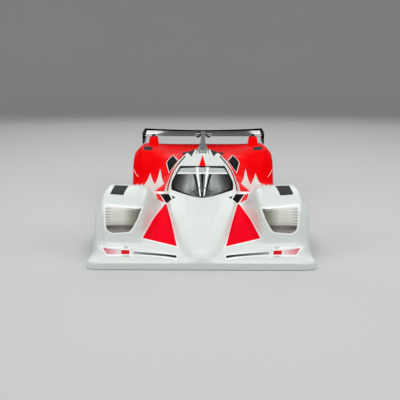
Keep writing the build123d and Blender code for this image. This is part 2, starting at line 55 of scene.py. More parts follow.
EYE = Vector((0.0, -0.5895, 0.1405))

# Limits in metres for where the skin is cut
CUT_MARGIN = 0.004
CUT_SNAP = 1e-7
ARCH_BOTTOM = -0.005
SCREEN_LOW = 0.034
SCREEN_BACK = -0.02
LAMP_LOW = 0.02
LAMP_BACK = -0.144

# Wheels as (inner face, width), radii of rim, windows and axles, and the motor's (station, height)
FRONT_WHEEL = (64.0, 20.0)
REAR_WHEEL = (50.0, 29.0)
RIM_RADIUS = 15.5
WINDOW_INNER = 6.9
WINDOW_OUTER = 12.1
STUB_RADIUS = 1.5875
AXLE_RADIUS = 3.175
MOTOR = (250.5, 26.3)

# Feature lines of the shell as rows of (station, half width, height), with the roundness of the corner there
CROWN = [
    (0, 0, 5.4), (2, 0, 9), (8, 0, 14), (14, 0, 17), (25, 0, 21.2), (45, 0, 27), (76, 0, 33.4), (97, 0, 37),
    (120, 0, 45), (150, 0, 57.6), (165, 0, 64.8), (182, 0, 70.4), (192, 0, 70.2), (205, 0, 68.6),
    (225, 0, 65), (265, 0, 58.8), (300, 0, 56.4), (314, 0, 57), (330, 0, 60.8)]
CROWN_EDGE = [
    (0, 6, 5.4), (2, 4.5, 8.4), (8, 8, 12.8), (14, 10.5, 15.6), (25, 14, 19.8), (45, 19, 25.2),
    (76, 25, 31.6), (97, 27.5, 35), (120, 28.2, 40.6), (135, 26.8, 48), (150, 23.4, 56.2), (165, 18.2, 63.2),
    (182, 11.5, 69.4), (205, 10.5, 67.6), (225, 11.5, 63.8), (265, 14, 58.4), (300, 14, 56.3),
    (314, 14, 56.9), (330, 14, 60.7)]
POD_SHOULDER = [
    (0, 9, 5.4), (2, 7.5, 7.6), (8, 11, 10.6), (14, 14, 13.4), (25, 17.5, 17), (45, 22.5, 22),
    (76, 28.5, 28.8), (97, 31, 32.4), (120, 33.4, 37.6), (135, 33.9, 44.2), (150, 31.2, 52.6),
    (165, 27.4, 60), (182, 19.7, 65.2), (205, 18, 62.6), (225, 19.5, 59.4), (265, 23, 57.6), (300, 23, 56.2),
    (314, 23, 56.8), (330, 23, 60.6)]
POD_FOOT = [
    (0, 12, 5.4), (2, 11, 7), (8, 14, 8.8), (14, 17, 10.8), (25, 20.5, 13.4), (45, 25.5, 17.6),
    (76, 31, 24.2), (97, 33.6, 28), (120, 36, 33.4), (150, 36, 36.6), (182, 34, 38), (205, 31, 42),
    (220, 30, 47.5), (235, 30, 52.4), (250, 30.5, 55.4), (265, 31, 56.6), (300, 31, 56), (314, 31, 56.8),
    (330, 31, 60.6)]
VALLEY_OUTER = [
    (0, 26, 5.4), (2, 26, 6.9), (8, 30, 8.2), (14, 34, 12.2), (18, 42, 13.8), (25, 46.5, 15.6),
    (45, 43.5, 18.6), (76, 38.5, 24.8), (97, 38.2, 28.4), (120, 41, 33), (150, 44, 33.6), (180, 44, 32.6),
    (205, 43, 35), (220, 41.5, 42), (235, 41, 48.8), (250, 42, 54), (265, 44, 56.4), (300, 45, 56.4),
    (314, 45, 57.2), (330, 45, 60.8)]
FENDER_INNER = [
    (0, 48, 5.4), (2, 48, 6.9), (8, 48, 8.2), (14, 51, 13.8), (18, 55.5, 16), (22, 52, 28.5), (28, 48, 40.5),
    (40, 45.6, 45.6), (58, 45.4, 49.8), (72, 46, 51.6), (85, 47.4, 50.2), (100, 49.4, 46.4), (120, 52, 39),
    (150, 54, 31.6), (180, 55, 29.6), (205, 55, 30.4), (220, 52, 36.4), (235, 52, 44), (250, 54, 53),
    (265, 56, 58.8), (280, 57, 60.8), (310, 57, 60), (330, 57, 61)]
FENDER_OUTER = [
    (0, 64, 5.4), (2, 66, 6.9), (8, 69, 8.2), (14, 71, 14.6), (18, 75, 16.4), (22, 77.4, 28.8),
    (28, 79, 41.4), (40, 79.6, 48.4), (58, 79.6, 52), (72, 79.6, 52.7), (85, 79.6, 51), (100, 79.2, 46.6),
    (120, 77, 37.8), (150, 71, 28), (180, 68.5, 26), (205, 68, 26), (220, 67.5, 27.6), (235, 68.5, 34.5),
    (250, 71, 49), (265, 74, 59.6), (280, 75, 63.8), (310, 75, 62.6), (330, 74.4, 61.6)]
OUTER_SHOULDER = [
    (0, 70, 5.3), (2, 73, 6.8), (8, 76, 7.8), (14, 80, 12.5), (18, 82, 13.6), (22, 83.2, 20),
    (28, 84.9, 31.5), (40, 86.7, 41), (58, 87.4, 43.5), (72, 87.4, 43.8), (85, 86.9, 42.4), (100, 85.6, 38.6),
    (120, 83.4, 31.6), (150, 80, 24.8), (180, 78, 23), (220, 77.6, 22.4), (235, 79, 25.6), (245, 81, 33.5),
    (255, 82.6, 43), (265, 83, 50), (280, 82.8, 55), (330, 81, 52.4)]
SIDE_FOOT = [
    (0, 74, 5.2), (2, 77.5, 6.5), (8, 81, 7.4), (14, 84, 8.4), (20, 84.8, 10), (28, 86.2, 15), (40, 87.8, 20),
    (58, 88.4, 23), (95, 87.6, 23), (120, 85.4, 20), (150, 83, 16), (205, 81.6, 14), (235, 82, 17),
    (250, 83, 26), (280, 84, 28), (330, 82.2, 28)]
SILL = [
    (0, 79, 4.4), (2, 84.8, 5.6), (6, 88.2, 5.8), (14, 86.8, 7), (20, 86.2, 8), (28, 87.2, 9.4),
    (38, 88.8, 10.4), (58, 88.8, 10.4), (95, 88.2, 9), (150, 84, 7), (235, 82.8, 7), (280, 84.2, 9),
    (330, 82.4, 13)]
BOTTOM_EDGE = [
    (0, 79.4, 0.4), (2, 85.2, 0.4), (6, 88.6, 0.4), (14, 88.2, 0.4), (25, 88, 0.8), (38, 89, 1.6),
    (58, 89, 2.4), (95, 88.4, 3), (150, 84.2, 3), (235, 83, 3), (280, 84.4, 4), (330, 82.6, 9)]
FEATURE_LINES = [(CROWN, 0.5), (CROWN_EDGE, 0.5), (POD_SHOULDER, 0.5), (POD_FOOT, 0.5), (VALLEY_OUTER, 0.4),
                 (FENDER_INNER, 0.24), (FENDER_OUTER, 0.07), (OUTER_SHOULDER, 0.12), (SIDE_FOOT, 0.45),
                 (SILL, 0.35), (BOTTOM_EDGE, 0.0)]
CORNER_STEPS = 5
REAR_OPENING = (52.0, 34.0)
REAR_RADIUS = 1.6

WINDSCREEN = [
    (0, 97.8), (13.3, 104.5), (28.6, 119.8), (30, 126.5), (29.6, 132.5), (26.8, 141), (23, 151.6),
    (12, 149.3), (0, 148.4)]
HEADLIGHT = [
    (76.4, 42.6), (49.4, 39.4), (50.8, 33.4), (54.1, 27.6), (56.6, 24.4), (70.3, 23.5), (73.8, 25.2),
    (75.3, 28.1)]


def slope_at(points, index, axis):
    """The slope of a feature line at one of its points, between its neighbours' and without overshoot."""
    pairs = list(zip(points, points[1:]))[max(0, index - 1):index + 1]
    slopes = [(b[axis] - a[axis]) / (b[0] - a[0]) for a, b in pairs]
    before, after = slopes[0], slopes[-1]
    return 2 * before * after / (before + after) if before * after > 0 else 0.0


def bend(start, corner, end, steps, first=0):
    """Points on a curve from start to end that leans towards the corner."""
    turns = [step / steps for step in range(first, steps + 1)]
    return [tuple((1 - t)**2 * a + 2 * t * (1 - t) * c + t**2 * b for a, c, b in zip(start, corner, end))
            for t in turns]


def on_line(points, station, axis):
    """Half width (axis 1) or height (axis 2) of a feature line at a station, as a smooth cubic."""
    index = 0
    while index < len(points) - 2 and station > points[index + 1][0]:
        index += 1
    start, end = points[index], points[index + 1]
    span = end[0] - start[0]
    t = (station - start[0]) / span
    low, high = slope_at(points, index, axis), slope_at(points, index + 1, axis)
    return ((2 * t**3 - 3 * t**2 + 1) * start[axis] + (t**3 - 2 * t**2 + t) * span * low
            + (3 * t**2 - 2 * t**3) * end[axis] + (t**3 - t**2) * span * high)


def half_section(station):
    """Points (x, z) of the right-hand half of the shell's section, with its corners rounded."""
    corners = [(on_line(line, station, 1), on_line(line, station, 2)) for line, _ in FEATURE_LINES]
    around = [(-corners[1][0], corners[1][1])] + corners
    points = []
    for index, (_, roundness) in enumerate(FEATURE_LINES[:-1]):
        before, corner, after = around[index:index + 3]
        start = [c + (b - c) * roundness for b, c in zip(before, corner)]
        end = [c + (a - c) * roundness for a, c in zip(after, corner)]
        steps, first = (CORNER_STEPS, 0) if index else (2 * CORNER_STEPS, CORNER_STEPS)
        points += bend(start, corner, end, steps, first)
    points.append(corners[-1])
    points[0] = (0.0, points[0][1])
    return points


def at(x, station, z):
    """A point in metres from millimetres, with the station counted from the front lip."""
    return Vector((x * MM, (station - HALF_LENGTH) * MM, z * MM))


def station_rows():
    rows = [0, 0.4, 0.9, 1.5, 2.2, 3, 4, 5, 6, 7, 8, 9.5, 11, 12.5, 14, 15.2, 16.4, 17.6, 18.8]
    value = 20.0
    while value < SHELL_END - REAR_RADIUS - 1:
        rows.append(value)
        value += 1.25 if value < 40 else 3.0
    return rows + [SHELL_END - REAR_RADIUS * (1 - math.sin(math.pi / 8 * i)) for i in range(5)]


def skin_row(station):
    """The section's right-hand half, drawn in towards the rounded rear edge."""
    half = half_section(station)
    along = max(0.0, station - SHELL_END + REAR_RADIUS)
    fall = REAR_RADIUS - math.sqrt(max(0.0, REAR_RADIUS**2 - along**2))
    return [(x - fall * min(1.0, x / 60), z - fall * min(1.0, max(0.0, z - 40) / 8)) for x, z in half]


def make_object(name, bm, smooth_angle=30):
    mesh = bpy.data.meshes.new(name)
    bm.to_mesh(mesh)
    bm.free()
    mesh.shade_smooth()
    mesh.set_sharp_from_angle(angle=math.radians(smooth_angle))
    obj = bpy.data.objects.new(name, mesh)
    bpy.context.scene.collection.objects.link(obj)
    return obj


def skin_mesh():
    """The outer surface of the whole shell, open below."""
    bm = bmesh.new()
    previous = None
    for station in station_rows():
        half = skin_row(station)
        line = flipped(half[1:]) + half
        row = [bm.verts.new(at(x, station, z)) for x, z in line]
        if previous:
            for a, b, c, d in zip(previous, previous[1:], row[1:], row):
                bm.faces.new((a, b, c, d))
        else:
            bm.faces.new(row)
        previous = row
    width, top = REAR_OPENING
    low = half[-1][1]
    outline = previous + [bm.verts.new(at(x, SHELL_END, z)) for x, z in (
        (width, low), (width, top), (-width, top), (-width, low))]
    bm.faces.new(list(reversed(outline)))
    bmesh.ops.recalc_face_normals(bm, faces=bm.faces)
    bm.normal_update()
    if bm.faces[len(bm.faces) // 2].normal.z < 0:
        bmesh.ops.reverse_faces(bm, faces=bm.faces)
    return bm


def cut_plane(bm, geom, axes, point, normal):
    """Cuts geometry by a plane whose point and normal are given in one or two of the axes."""
    plane = [Vector((0, 0, 0)), Vector((0, 0, 0))]
    for vector, values in zip(plane, (point, normal)):
        for axis, value in zip(axes, values):
            vector[axis] = value
    bmesh.ops.bisect_plane(bm, geom=geom, dist=CUT_SNAP, plane_co=plane[0], plane_no=plane[1])


def closed(points):
    """Each point of a closed outline with the next one."""
    return zip(points, points[1:] + points[:1])


def cut_along(bm, outline, axes, wanted):
    """Cuts the faces whose centres wanted() picks along an outline of points in two of the axes."""
    for here, there in closed(outline):
        start = Vector(here)
        run = Vector(there) - start
        length = run.length
        run.normalize()
        sideways = Vector((-run.y, run.x))
        near = []
        for face in bm.faces:
            centre = face.calc_center_median()
            offset = Vector([centre[axis] for axis in axes]) - start
            if (-CUT_MARGIN < offset.dot(run) < length + CUT_MARGIN
                    and abs(offset.dot(sideways)) < CUT_MARGIN and wanted(centre)):
                near.append(face)
        edges = {edge for face in near for edge in face.edges}
        verts = {vert for face in near for vert in face.verts}
        cut_plane(bm, [*verts, *edges, *near], axes, start, sideways)


def inside(point, outline):
    """True where a point (u, v) lies inside a closed outline."""
    u, v = point
    crossings = [a[0] + (v - a[1]) / (b[1] - a[1]) * (b[0] - a[0]) for a, b in closed(outline)
                 if (a[1] > v) != (b[1] > v)]
    return sum(u < crossing for crossing in crossings) % 2 == 1


def plan_points(outline):
    return [(x * MM, (s - HALF_LENGTH) * MM) for x, s in outline]


def both_sides(outline):
    return outline + [(-x, s) for x, s in reversed(outline) if x]


def flipped(outline):
    return [(-x, v) for x, v in reversed(outline)]


def linear(rgb):
    """Linear colour from a colour in 0-255 values."""
    return tuple((c / 255 / 12.92) if c / 255 <= 0.04045 else ((c / 255 + 0.055) / 1.055)**2.4 for c in rgb)


def fill(tree, node, inputs):
    """Sets the inputs of a node by name or number, or links those whose value is another node's output."""
    for name, value in inputs.items():
        if hasattr(value, "is_output"):
            tree.links.new(value, node.inputs[name])
        else:
            node.inputs[name].default_value = value


def add_node(tree, kind, inputs, **settings):
    node = tree.nodes.new("ShaderNode" + kind)
    for name, value in settings.items():
        setattr(node, name, value)
    fill(tree, node, inputs)
    return node


def material(name, rgb, roughness, metallic=0.0, coat=0.0, vary=0.06, bump=0.0, scale=60.0, specular=0.5,
             ior=1.5):
    """A material whose colour and roughness drift a little over the surface."""
    mat = bpy.data.materials.new(name)
    mat.use_nodes = True
    tree = mat.node_tree
    shader = tree.nodes["Principled BSDF"]
    coords = add_node(tree, "TexCoord", {}).outputs["Object"]
    drift = add_node(tree, "TexNoise", {"Vector": coords, "Scale": scale, "Detail": 4.0}).outputs["Fac"]
    ramp = add_node(tree, "ValToRGB", {"Fac": drift})
    for element, position, change in zip(ramp.color_ramp.elements, (0.3, 0.7), (1 - vary, 1 + vary)):
        element.position = position
        element.color = (*[min(1.0, c * change) for c in linear(rgb)], 1)
    low, high = max(0.02, roughness * 0.85), min(1.0, roughness * 1.15)
    span = add_node(tree, "MapRange", {"Value": drift, "To Min": low, "To Max": high})
    fill(tree, shader, {
        "Base Color": ramp.outputs["Color"], "Roughness": span.outputs["Result"], "Metallic": metallic,
        "Coat Weight": coat, "Coat Roughness": 0.08, "Specular IOR Level": specular, "IOR": ior})
    if bump:
        fine = {"Vector": coords, "Scale": scale * GRAIN_FINENESS, "Detail": 3.0}
        grain = add_node(tree, "TexNoise", fine).outputs["Fac"]
        relief = add_node(tree, "Bump", {"Height": grain, "Strength": bump, "Distance": GRAIN_DEPTH})
        fill(tree, shader, {"Normal": relief.outputs["Normal"]})
    return mat


GRAIN_FINENESS = 12
GRAIN_DEPTH = 0.0003
WEAVE_PITCH = 3
LAMP_LINE_PITCH = 2.05
WHITE = material("white_paint", (226, 232, 227), 0.36, coat=0.12, vary=0.02, scale=25, specular=0.35)
RED = material("red_paint", (254, 0, 6), 0.3, vary=0.03, scale=25, ior=1.1)
BACK_WHITE = material("white_backing", (196, 200, 198), 0.6, vary=0.05, bump=0.2)
BACK_RED = material("red_backing", (150, 20, 24), 0.6, bump=0.2)
# The window's base colour is replaced in paint_gradients by a painted reflection.
WINDOW = material("smoked_window_painted_reflection", (34, 36, 38), 0.22, vary=0.15, scale=12, specular=0.3)
LAMP = material("lamp_print", (176, 176, 170), 0.3, coat=0.15, vary=0.05, specular=0.3)
BLACK_PLASTIC = material("black_gloss_plastic", (10, 10, 11), 0.16, coat=1.0, vary=0.1)
BLACK_SATIN = material("black_satin_plastic", (10, 10, 11), 0.45, vary=0.1, specular=0.12)
FIN_GREY = material("grey_fin_plastic", (92, 96, 94), 0.3, coat=0.3, vary=0.05)
STEEL = material("ground_steel", (170, 170, 172), 0.28, metallic=1.0, vary=0.06, scale=300)
ALUMINIUM = material("machined_aluminium", (222, 222, 224), 0.42, metallic=1.0, vary=0.05, scale=200)
NYLON = material("moulded_nylon", (24, 24, 25), 0.55, vary=0.12, bump=0.35)
RIM = material("rim_plastic", (26, 26, 27), 0.4, vary=0.08, bump=0.1)
FOAM = material("foam_rubber", (30, 30, 30), 0.92, vary=0.25, bump=0.9, scale=240)
CARBON = material("carbon_laminate", (22, 22, 24), 0.4, coat=0.25, vary=0.2)
CASE = material("battery_case", (32, 34, 38), 0.45, vary=0.08, bump=0.2)
CAN = material("motor_can", (120, 122, 126), 0.3, metallic=1.0, vary=0.06, scale=200)
MAGNET = material("nickel_plate", (200, 198, 192), 0.15, metallic=1.0, vary=0.04)
BLACK_STEEL = material("black_oxide_steel", (22, 22, 24), 0.3, metallic=0.6, vary=0.1, scale=200)
SPUR_WHITE = material("spur_nylon", (214, 212, 204), 0.45, vary=0.04, bump=0.1)

SLOT_MATERIALS = {"painted_shell": WHITE, "clear_window": WINDOW, "headlight_print": LAMP,
                  "fin_plastic": FIN_GREY, "wing_plastic": BLACK_PLASTIC, "carbon_plate": CARBON,
                  "moulded_plastic": NYLON, "steel": STEEL, "rim_plastic": RIM, "foam_tyre": FOAM,
                  "battery_wrap": CASE, "aluminium": ALUMINIUM, "motor_can": CAN, "magnet_metal": MAGNET}
SLOT_OF = {part["node"]: part["material_slot"] for part in frame["record"]["subparts"]}
for node_name, node_slot in SLOT_OF.items():
    node_mats = frame["nodes"][node_name].data.materials
    node_mats.clear()
    node_mats.append(SLOT_MATERIALS[node_slot])

# The red rear of the paint, seen from above, as points (half width, station)
RED_AREA = [
    (5, 203), (9, 200), (14, 214), (20, 197), (26, 205), (33, 197), (37, 180), (37.2, 133.6), (48.2, 142.5),
    (40.8, 183.3), (48.7, 230), (52, 196.2), (60.2, 232), (66, 208.8), (69, 222), (71, 213), (75, 229),
    (78, 215), (95, 222), (95, 345)]


def arch_outline(station, z):
    """A wheel arch seen from the side, as points (y, z) in metres with straight sides down past the sill."""
    y = station - HALF_LENGTH
    turns = [math.pi * i / ARCH_STEPS for i in range(ARCH_STEPS + 1)]
    outline = [((y + ARCH_RADIUS * math.cos(a)) * MM, (z + ARCH_RADIUS * math.sin(a)) * MM) for a in turns]
    return outline + [((y + side * ARCH_RADIUS) * MM, ARCH_BOTTOM) for side in (-1, 1)]


def apply_modifier(obj, modifier):
    bpy.context.view_layer.objects.active = obj
    obj.select_set(True)
    bpy.ops.object.modifier_apply(modifier=modifier.name)
    obj.select_set(False)


def make_shell():
    """The shell, windscreen and headlights, cut from one skin. Returns the uncut skin for casting rays."""
    bm = skin_mesh()
    tree = BVHTree.FromBMesh(bm)
    areas = [("windscreen", plan_points(both_sides(WINDSCREEN)), (0, 1),
              lambda c: c.z > SCREEN_LOW and c.y < SCREEN_BACK)]
    for side, lamp in (("left", HEADLIGHT), ("right", flipped(HEADLIGHT))):
        areas.append((f"headlight_{side}", [(x * MM, z * MM) for x, z in lamp], (0, 2),
                      lambda c: c.y < LAMP_BACK and c.z > LAMP_LOW))
    for axle in (FRONT_AXLE, REAR_AXLE):
        areas.append(("wheel_arch", arch_outline(*axle), (1, 2), lambda c: abs(c.x) > ARCH_INNER_X * MM))
    red = plan_points(both_sides(RED_AREA))
    for _, outline, axes, wanted in areas:
        cut_along(bm, outline, axes, wanted)
    cut_along(bm, red, (0, 1), lambda c: True)
    groups = {"body_shell": set(), **{name: set() for name, *_ in areas}}
    for face in bm.faces:
        c = face.calc_center_median()
        face.material_index = 1 if inside((c.x, c.y), red) else 0
        found = [name for name, outline, (u, v), wanted in areas
                 if wanted(c) and inside((c[u], c[v]), outline)]
        groups[found[0] if found else "body_shell"].add(face.index)
    del groups["wheel_arch"]
    for name, faces in groups.items():
        part = bm.copy()
        part.faces.ensure_lookup_table()
        bmesh.ops.delete(part, geom=[face for face in part.faces if face.index not in faces], context="FACES")
        obj = make_object(name + "_skin", part)
        mats = (WHITE, RED, BACK_WHITE, BACK_RED)
        if name != "body_shell":
            mats = (SLOT_MATERIALS[SLOT_OF[name]],)
        for mat in mats:
            obj.data.materials.append(mat)
        solid = obj.modifiers.new("sheet", "SOLIDIFY")
        solid.thickness = SHEET * MM
        solid.offset = -1
        solid.use_even_offset = True
        solid.material_offset = len(mats) // 2
        apply_modifier(obj, solid)
        obj.data.set_sharp_from_angle(angle=math.radians(30))
        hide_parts(name)
        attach(obj, "root")
    bm.free()
    return tree


skin = make_shell()

# Wing, its towers and clamp screws, and the fin
WING_UNDERSIDE = [(321, 70.8), (328, 71.1), (337, 72.4), (346, 74.5), (355, 77)]
WING_HALF = 77.1
WING_SHEET = 1.2
TIP_RADIUS = 2.0
TIP_TAB = 4.4
BLADE_FRONT = 321
BLADE_CHORD = 34
BLADE_ROWS = 17
TOWER_X = 64
TOWER_STATION = 325
CLAMP_X = 6.8
CLAMP_STATION = 336.2
END_PLATE = [(320, 61), (348, 61.5), (360, 68), (360, 76.4), (356, 79.2), (322, 76.6), (320, 75)]
FIN_WIDTH = [(178, 3.6), (182, 5.7), (240, 2.8), (337, 2.6)]
FIN_TOP = [(178, 69.6), (186, 71.4), (240, 73.2), (337, 76.4)]
FIN_END_FOOT = 60.6


def add_piece(name, bm, mat, body, node=None, slot=None, soft=0.0, angle=35):
    """Makes a closed mesh a piece of a body, with soft edges. node is the CAD node that it stands for."""
    bmesh.ops.remove_doubles(bm, verts=bm.verts[:], dist=1e-6)
    bmesh.ops.recalc_face_normals(bm, faces=bm.faces[:])
    if soft:
        edges = [e for e in bm.edges if len(e.link_faces) == 2 and e.calc_face_angle() > 0.6]
        bmesh.ops.bevel(bm, geom=edges, offset=soft * MM, segments=2, affect="EDGES", profile=0.5)
    obj = make_object(name, bm, angle)
    obj.data.materials.append(mat)
    if node:
        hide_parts(node)
    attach(obj, body)
    return obj


def prism(bm, outline, axis, low, high):
    """Adds a block from its outline in the other two axes, stations for Y, between two values of its axis."""
    ends = []
    for value in (low, high):
        place = {"x": lambda u, v: at(value, u, v), "z": lambda u, v: at(u, v, value)}[axis]
        ends.append([bm.verts.new(place(u, v)) for u, v in outline])
    bridge(bm, ends)


def bridge(bm, rows, loop=False):
    """Joins rows of points into a closed skin, with the first and last row capped or joined as a loop."""
    for one, two in closed(rows) if loop else zip(rows, rows[1:]):
        for (a, b), (c, d) in zip(closed(one), closed(two)):
            bm.faces.new((a, b, d, c))
    if not loop:
        bm.faces.new(rows[0])
        bm.faces.new(rows[-1])


def turned(bm, axis, centre, profile, around, loop=False, sign=1):
    """Adds a body turned about axis x or z, from rows of (radius, way along the axis from the centre)."""
    x, station, z = centre
    rows = []
    for radius, along in profile:
        row = []
        for i in range(around):
            a = 2 * math.pi * i / around
            c, s = radius * math.cos(a), radius * math.sin(a)
            place = (x + sign * along, station + c, z + s) if axis == "x" else (x + c, station + s, z + along)
            row.append(bm.verts.new(at(*place)))
        rows.append(row)
    bridge(bm, rows, loop)


def turned_piece(name, mat, body, axis, centre, profiles, sign=1, **options):
    """A piece of turned bodies on one axis, each from its profile, number of sides and, if need be, loop."""
    bm = bmesh.new()
    for profile, *how in profiles:
        turned(bm, axis, centre, profile, *how, sign=sign)
    add_piece(name, bm, mat, body, **options)


def rounded(outline, radius, steps=5):
    """A closed outline with its corners rounded."""
    points = []
    for before, (here, after) in zip(outline[-1:] + outline, closed(outline)):
        ends = []
        for other in (before, after):
            du, dv = other[0] - here[0], other[1] - here[1]
            length = math.hypot(du, dv)
            reach = min(radius, length * 0.49) / length
            ends.append((here[0] + du * reach, here[1] + dv * reach))
        points += bend(ends[0], here, ends[1], steps)
    return points


def straight(rows, station):
    """The value at a station on straight lines between rows of (station, value)."""
    for (s0, v0), (s1, v1) in zip(rows, rows[1:]):
        if station <= s1:
            return v0 + (v1 - v0) * (station - s0) / (s1 - s0)
    return rows[-1][1]


def wing_top(station):
    rows = [(s, z, z) for s, z in WING_UNDERSIDE]
    return on_line(rows, station, 1) + WING_SHEET


def make_towers():
    """The two red towers under the wing, flared at the foot and chamfered at the head, with their screws."""
    levels = [(59.3, 0.7, 314.2, 329.4), (62, 0.2, 315.6, 329.5), (67, -0.5, 318, 329.4),
              (69.4, -0.8, 319.4, 328.8), (70.4, -1.5, 320.2, 328.2), (70.7, -2.4, 321, 327.4)]
    head = [(2.5, -0.3), (2.5, 0.6), (2.1, 1.2), (1.2, 1.5), (1.1, 0.9), (0.01, 0.9)]
    for side, sign in SIDES:
        bm = bmesh.new()
        rows = []
        for z, spread, front, back in levels:
            inner, outer = TOWER_X - 6 - spread, TOWER_X + 6 + spread
            outline = rounded([(inner, front), (outer, front), (outer, back), (inner, back)], 2.2)
            rows.append([bm.verts.new(at(sign * x, s, z)) for x, s in outline])
        bridge(bm, rows)
        add_piece(f"tower_{side}", bm, RED, "root", slot="painted_shell")
        place = (sign * TOWER_X, TOWER_STATION, wing_top(TOWER_STATION))
        turned_piece(f"tower_screw_{side}", BLACK_STEEL, "root", "z", place, [(head, 24)], slot="steel")


def blade_section():
    """The blade's section across the car, with turned-down ends, as points (x, height over its top)."""
    outer = [(x, 0.0) for x in (0, 15, 30, 45, 60)]
    inner = [(x, -WING_SHEET) for x, _ in outer]
    start, small = WING_HALF - TIP_RADIUS, TIP_RADIUS - WING_SHEET
    for step in range(7):
        a = math.pi / 2 * step / 6
        outer.append((start + TIP_RADIUS * math.sin(a), -TIP_RADIUS * (1 - math.cos(a))))
        inner.append((start + small * math.sin(a), -WING_SHEET - small * (1 - math.cos(a))))
    outer.append((WING_HALF, -TIP_TAB))
    inner.append((WING_HALF - WING_SHEET, -TIP_TAB))
    return flipped(outer[1:]) + outer + inner[::-1] + flipped(inner[1:])[::-1]


def make_wing():
    """The formed blade with a slot for the fin, its end plates and its two screws."""
    section = blade_section()
    bm = bmesh.new()
    rows = []
    for i in range(BLADE_ROWS + 1):
        back = i / BLADE_ROWS
        station = BLADE_FRONT + BLADE_CHORD * back
        slim = 0.35 if i in (0, BLADE_ROWS) else 0.0
        row = []
        for x, z in section:
            bow = back**2 * (2.2 * (x / WING_HALF)**2 - 1.5)
            z += -slim if z > -0.1 else slim
            row.append(bm.verts.new(at(x, station, wing_top(station) + bow + z)))
        rows.append(row)
    bridge(bm, rows)
    blade = add_piece("wing_blade_skin", bm, BLACK_PLASTIC, "root", node="wing_blade", angle=40)
    bm = bmesh.new()
    fin_slot = [(-2.9, 300), (2.9, 300), (2.9, 337.4), (-2.9, 337.4)]
    prism(bm, fin_slot, "z", 60, 90)
    bmesh.ops.recalc_face_normals(bm, faces=bm.faces[:])
    cutter = make_object("slot_cutter", bm)
    cut = blade.modifiers.new("slot", "BOOLEAN")
    cut.operation = "DIFFERENCE"
    cut.object = cutter
    apply_modifier(blade, cut)
    bpy.data.objects.remove(cutter)
    washer = [(0.9, -0.6), (3.8, -0.6), (4, 0.2), (3.7, 0.5), (0.9, 0.5)]
    screw = [(2.3, 0.4), (2.4, 1), (2, 1.8), (1.1, 2.1), (1, 1.4), (0.01, 1.4)]
    nut = [(3.2, -4), (3.2, 0.1 - WING_SHEET)]
    shank = [(1.5, -5.2), (1.5, -3)]
    for side, sign in SIDES:
        bm = bmesh.new()
        prism(bm, rounded(END_PLATE, 2.4), "x", *sorted((sign * WING_HALF, sign * (WING_HALF + 1.2))))
        add_piece(f"wing_plate_{side}", bm, BLACK_SATIN, "root", node=f"wing_end_plate_{side}", soft=0.25)
        for name, mat, slot, profiles in (
                ("washer", ALUMINIUM, "aluminium", [(washer, 32, True)]),
                ("screw", BLACK_STEEL, "steel", [(screw, 24)]),
                ("nut", BLACK_STEEL, "steel", [(nut, 6), (shank, 16)])):
            place = (sign * CLAMP_X, CLAMP_STATION, wing_top(CLAMP_STATION) - 0.3)
            turned_piece(f"wing_{name}_{side}", mat, "root", "z", place, profiles, slot=slot)


def make_fin():
    """The fin on the engine cover, with rounded top edges and its foot inside the shell's wall."""
    bm = bmesh.new()
    rows = []
    for station in [178, 180, 182, 186] + [190 + 6 * i for i in range(24)] + [334, 337]:
        width, top = straight(FIN_WIDTH, station), straight(FIN_TOP, station)
        foot = min(on_line(line, min(station, SHELL_END), 2) for line in (CROWN, CROWN_EDGE)) - 0.8
        foot = FIN_END_FOOT if station > SHELL_END else foot
        edge = 0.9 if station > 178 else 0.5
        half = [(min(width + 0.5, 5.7), foot), (width, foot + 2.2), (width, top - edge),
                (width - 0.3 * edge, top - 0.3 * edge), (width - edge, top), (0, top)]
        outline = half + flipped(half[:-1])
        rows.append([bm.verts.new(at(x, station, z)) for x, z in outline])
    bridge(bm, rows)
    add_piece("fin_skin", bm, FIN_GREY, "root", node="shark_fin", angle=25)


def make_wheel(side, front):
    """A foam tyre with rounded shoulders on a dished rim with five windows, as in the CAD's sizes."""
    sign = 1 if side == "left" else -1
    centre = (0, *(FRONT_AXLE if front else REAR_AXLE))
    radius = centre[2]
    inner, width = FRONT_WHEEL if front else REAR_WHEEL
    outer = inner + width
    end = "front" if front else "rear"
    body = f"front_wheel_{side}" if front else {"left": "rear_axle", "right": "rear_wheel_right"}[side]
    rim, wall = RIM_RADIUS, RIM_RADIUS - 1.4
    shoulder = [(rim, 0.2), (radius - 1.5, 0), (radius - 0.8, 0.2), (radius - 0.2, 0.8), (radius, 1.6)]
    tread = [(r, inner + x) for r, x in shoulder] + [(r, outer - x) for r, x in reversed(shoulder)]
    turned_piece(f"{end}_foam_{side}", FOAM, body, "x", centre, [(tread, 72, True)], sign,
                 node=f"{end}_tyre_{side}")
    web = outer - 6
    bore = 1.64 if front else (AXLE_RADIUS if side == "left" else AXLE_RADIUS + 0.05)
    hub = 62.9 if front else inner
    band = [(rim, inner), (rim, outer - 0.3), (rim - 0.3, outer), (wall + 0.3, outer), (wall, outer - 0.4),
            (wall - 0.2, outer - 3.4), (wall, outer - 4), (wall, inner)]
    boss = [(bore, hub), (4.6, hub), (5, hub + 0.4), (5, web + 1.6), (4.6, web + 2), (bore, web + 2)]
    bm = bmesh.new()
    for profile, around in ((band, 72), (boss, 40)):
        turned(bm, "x", centre, profile, around, True, sign)
    add_web(bm, centre, sign * web, sign * (web + 2), wall + 0.2)
    add_piece(f"{end}_wheel_{side}", bm, RIM, body, node=f"{end}_rim_{side}", angle=30)


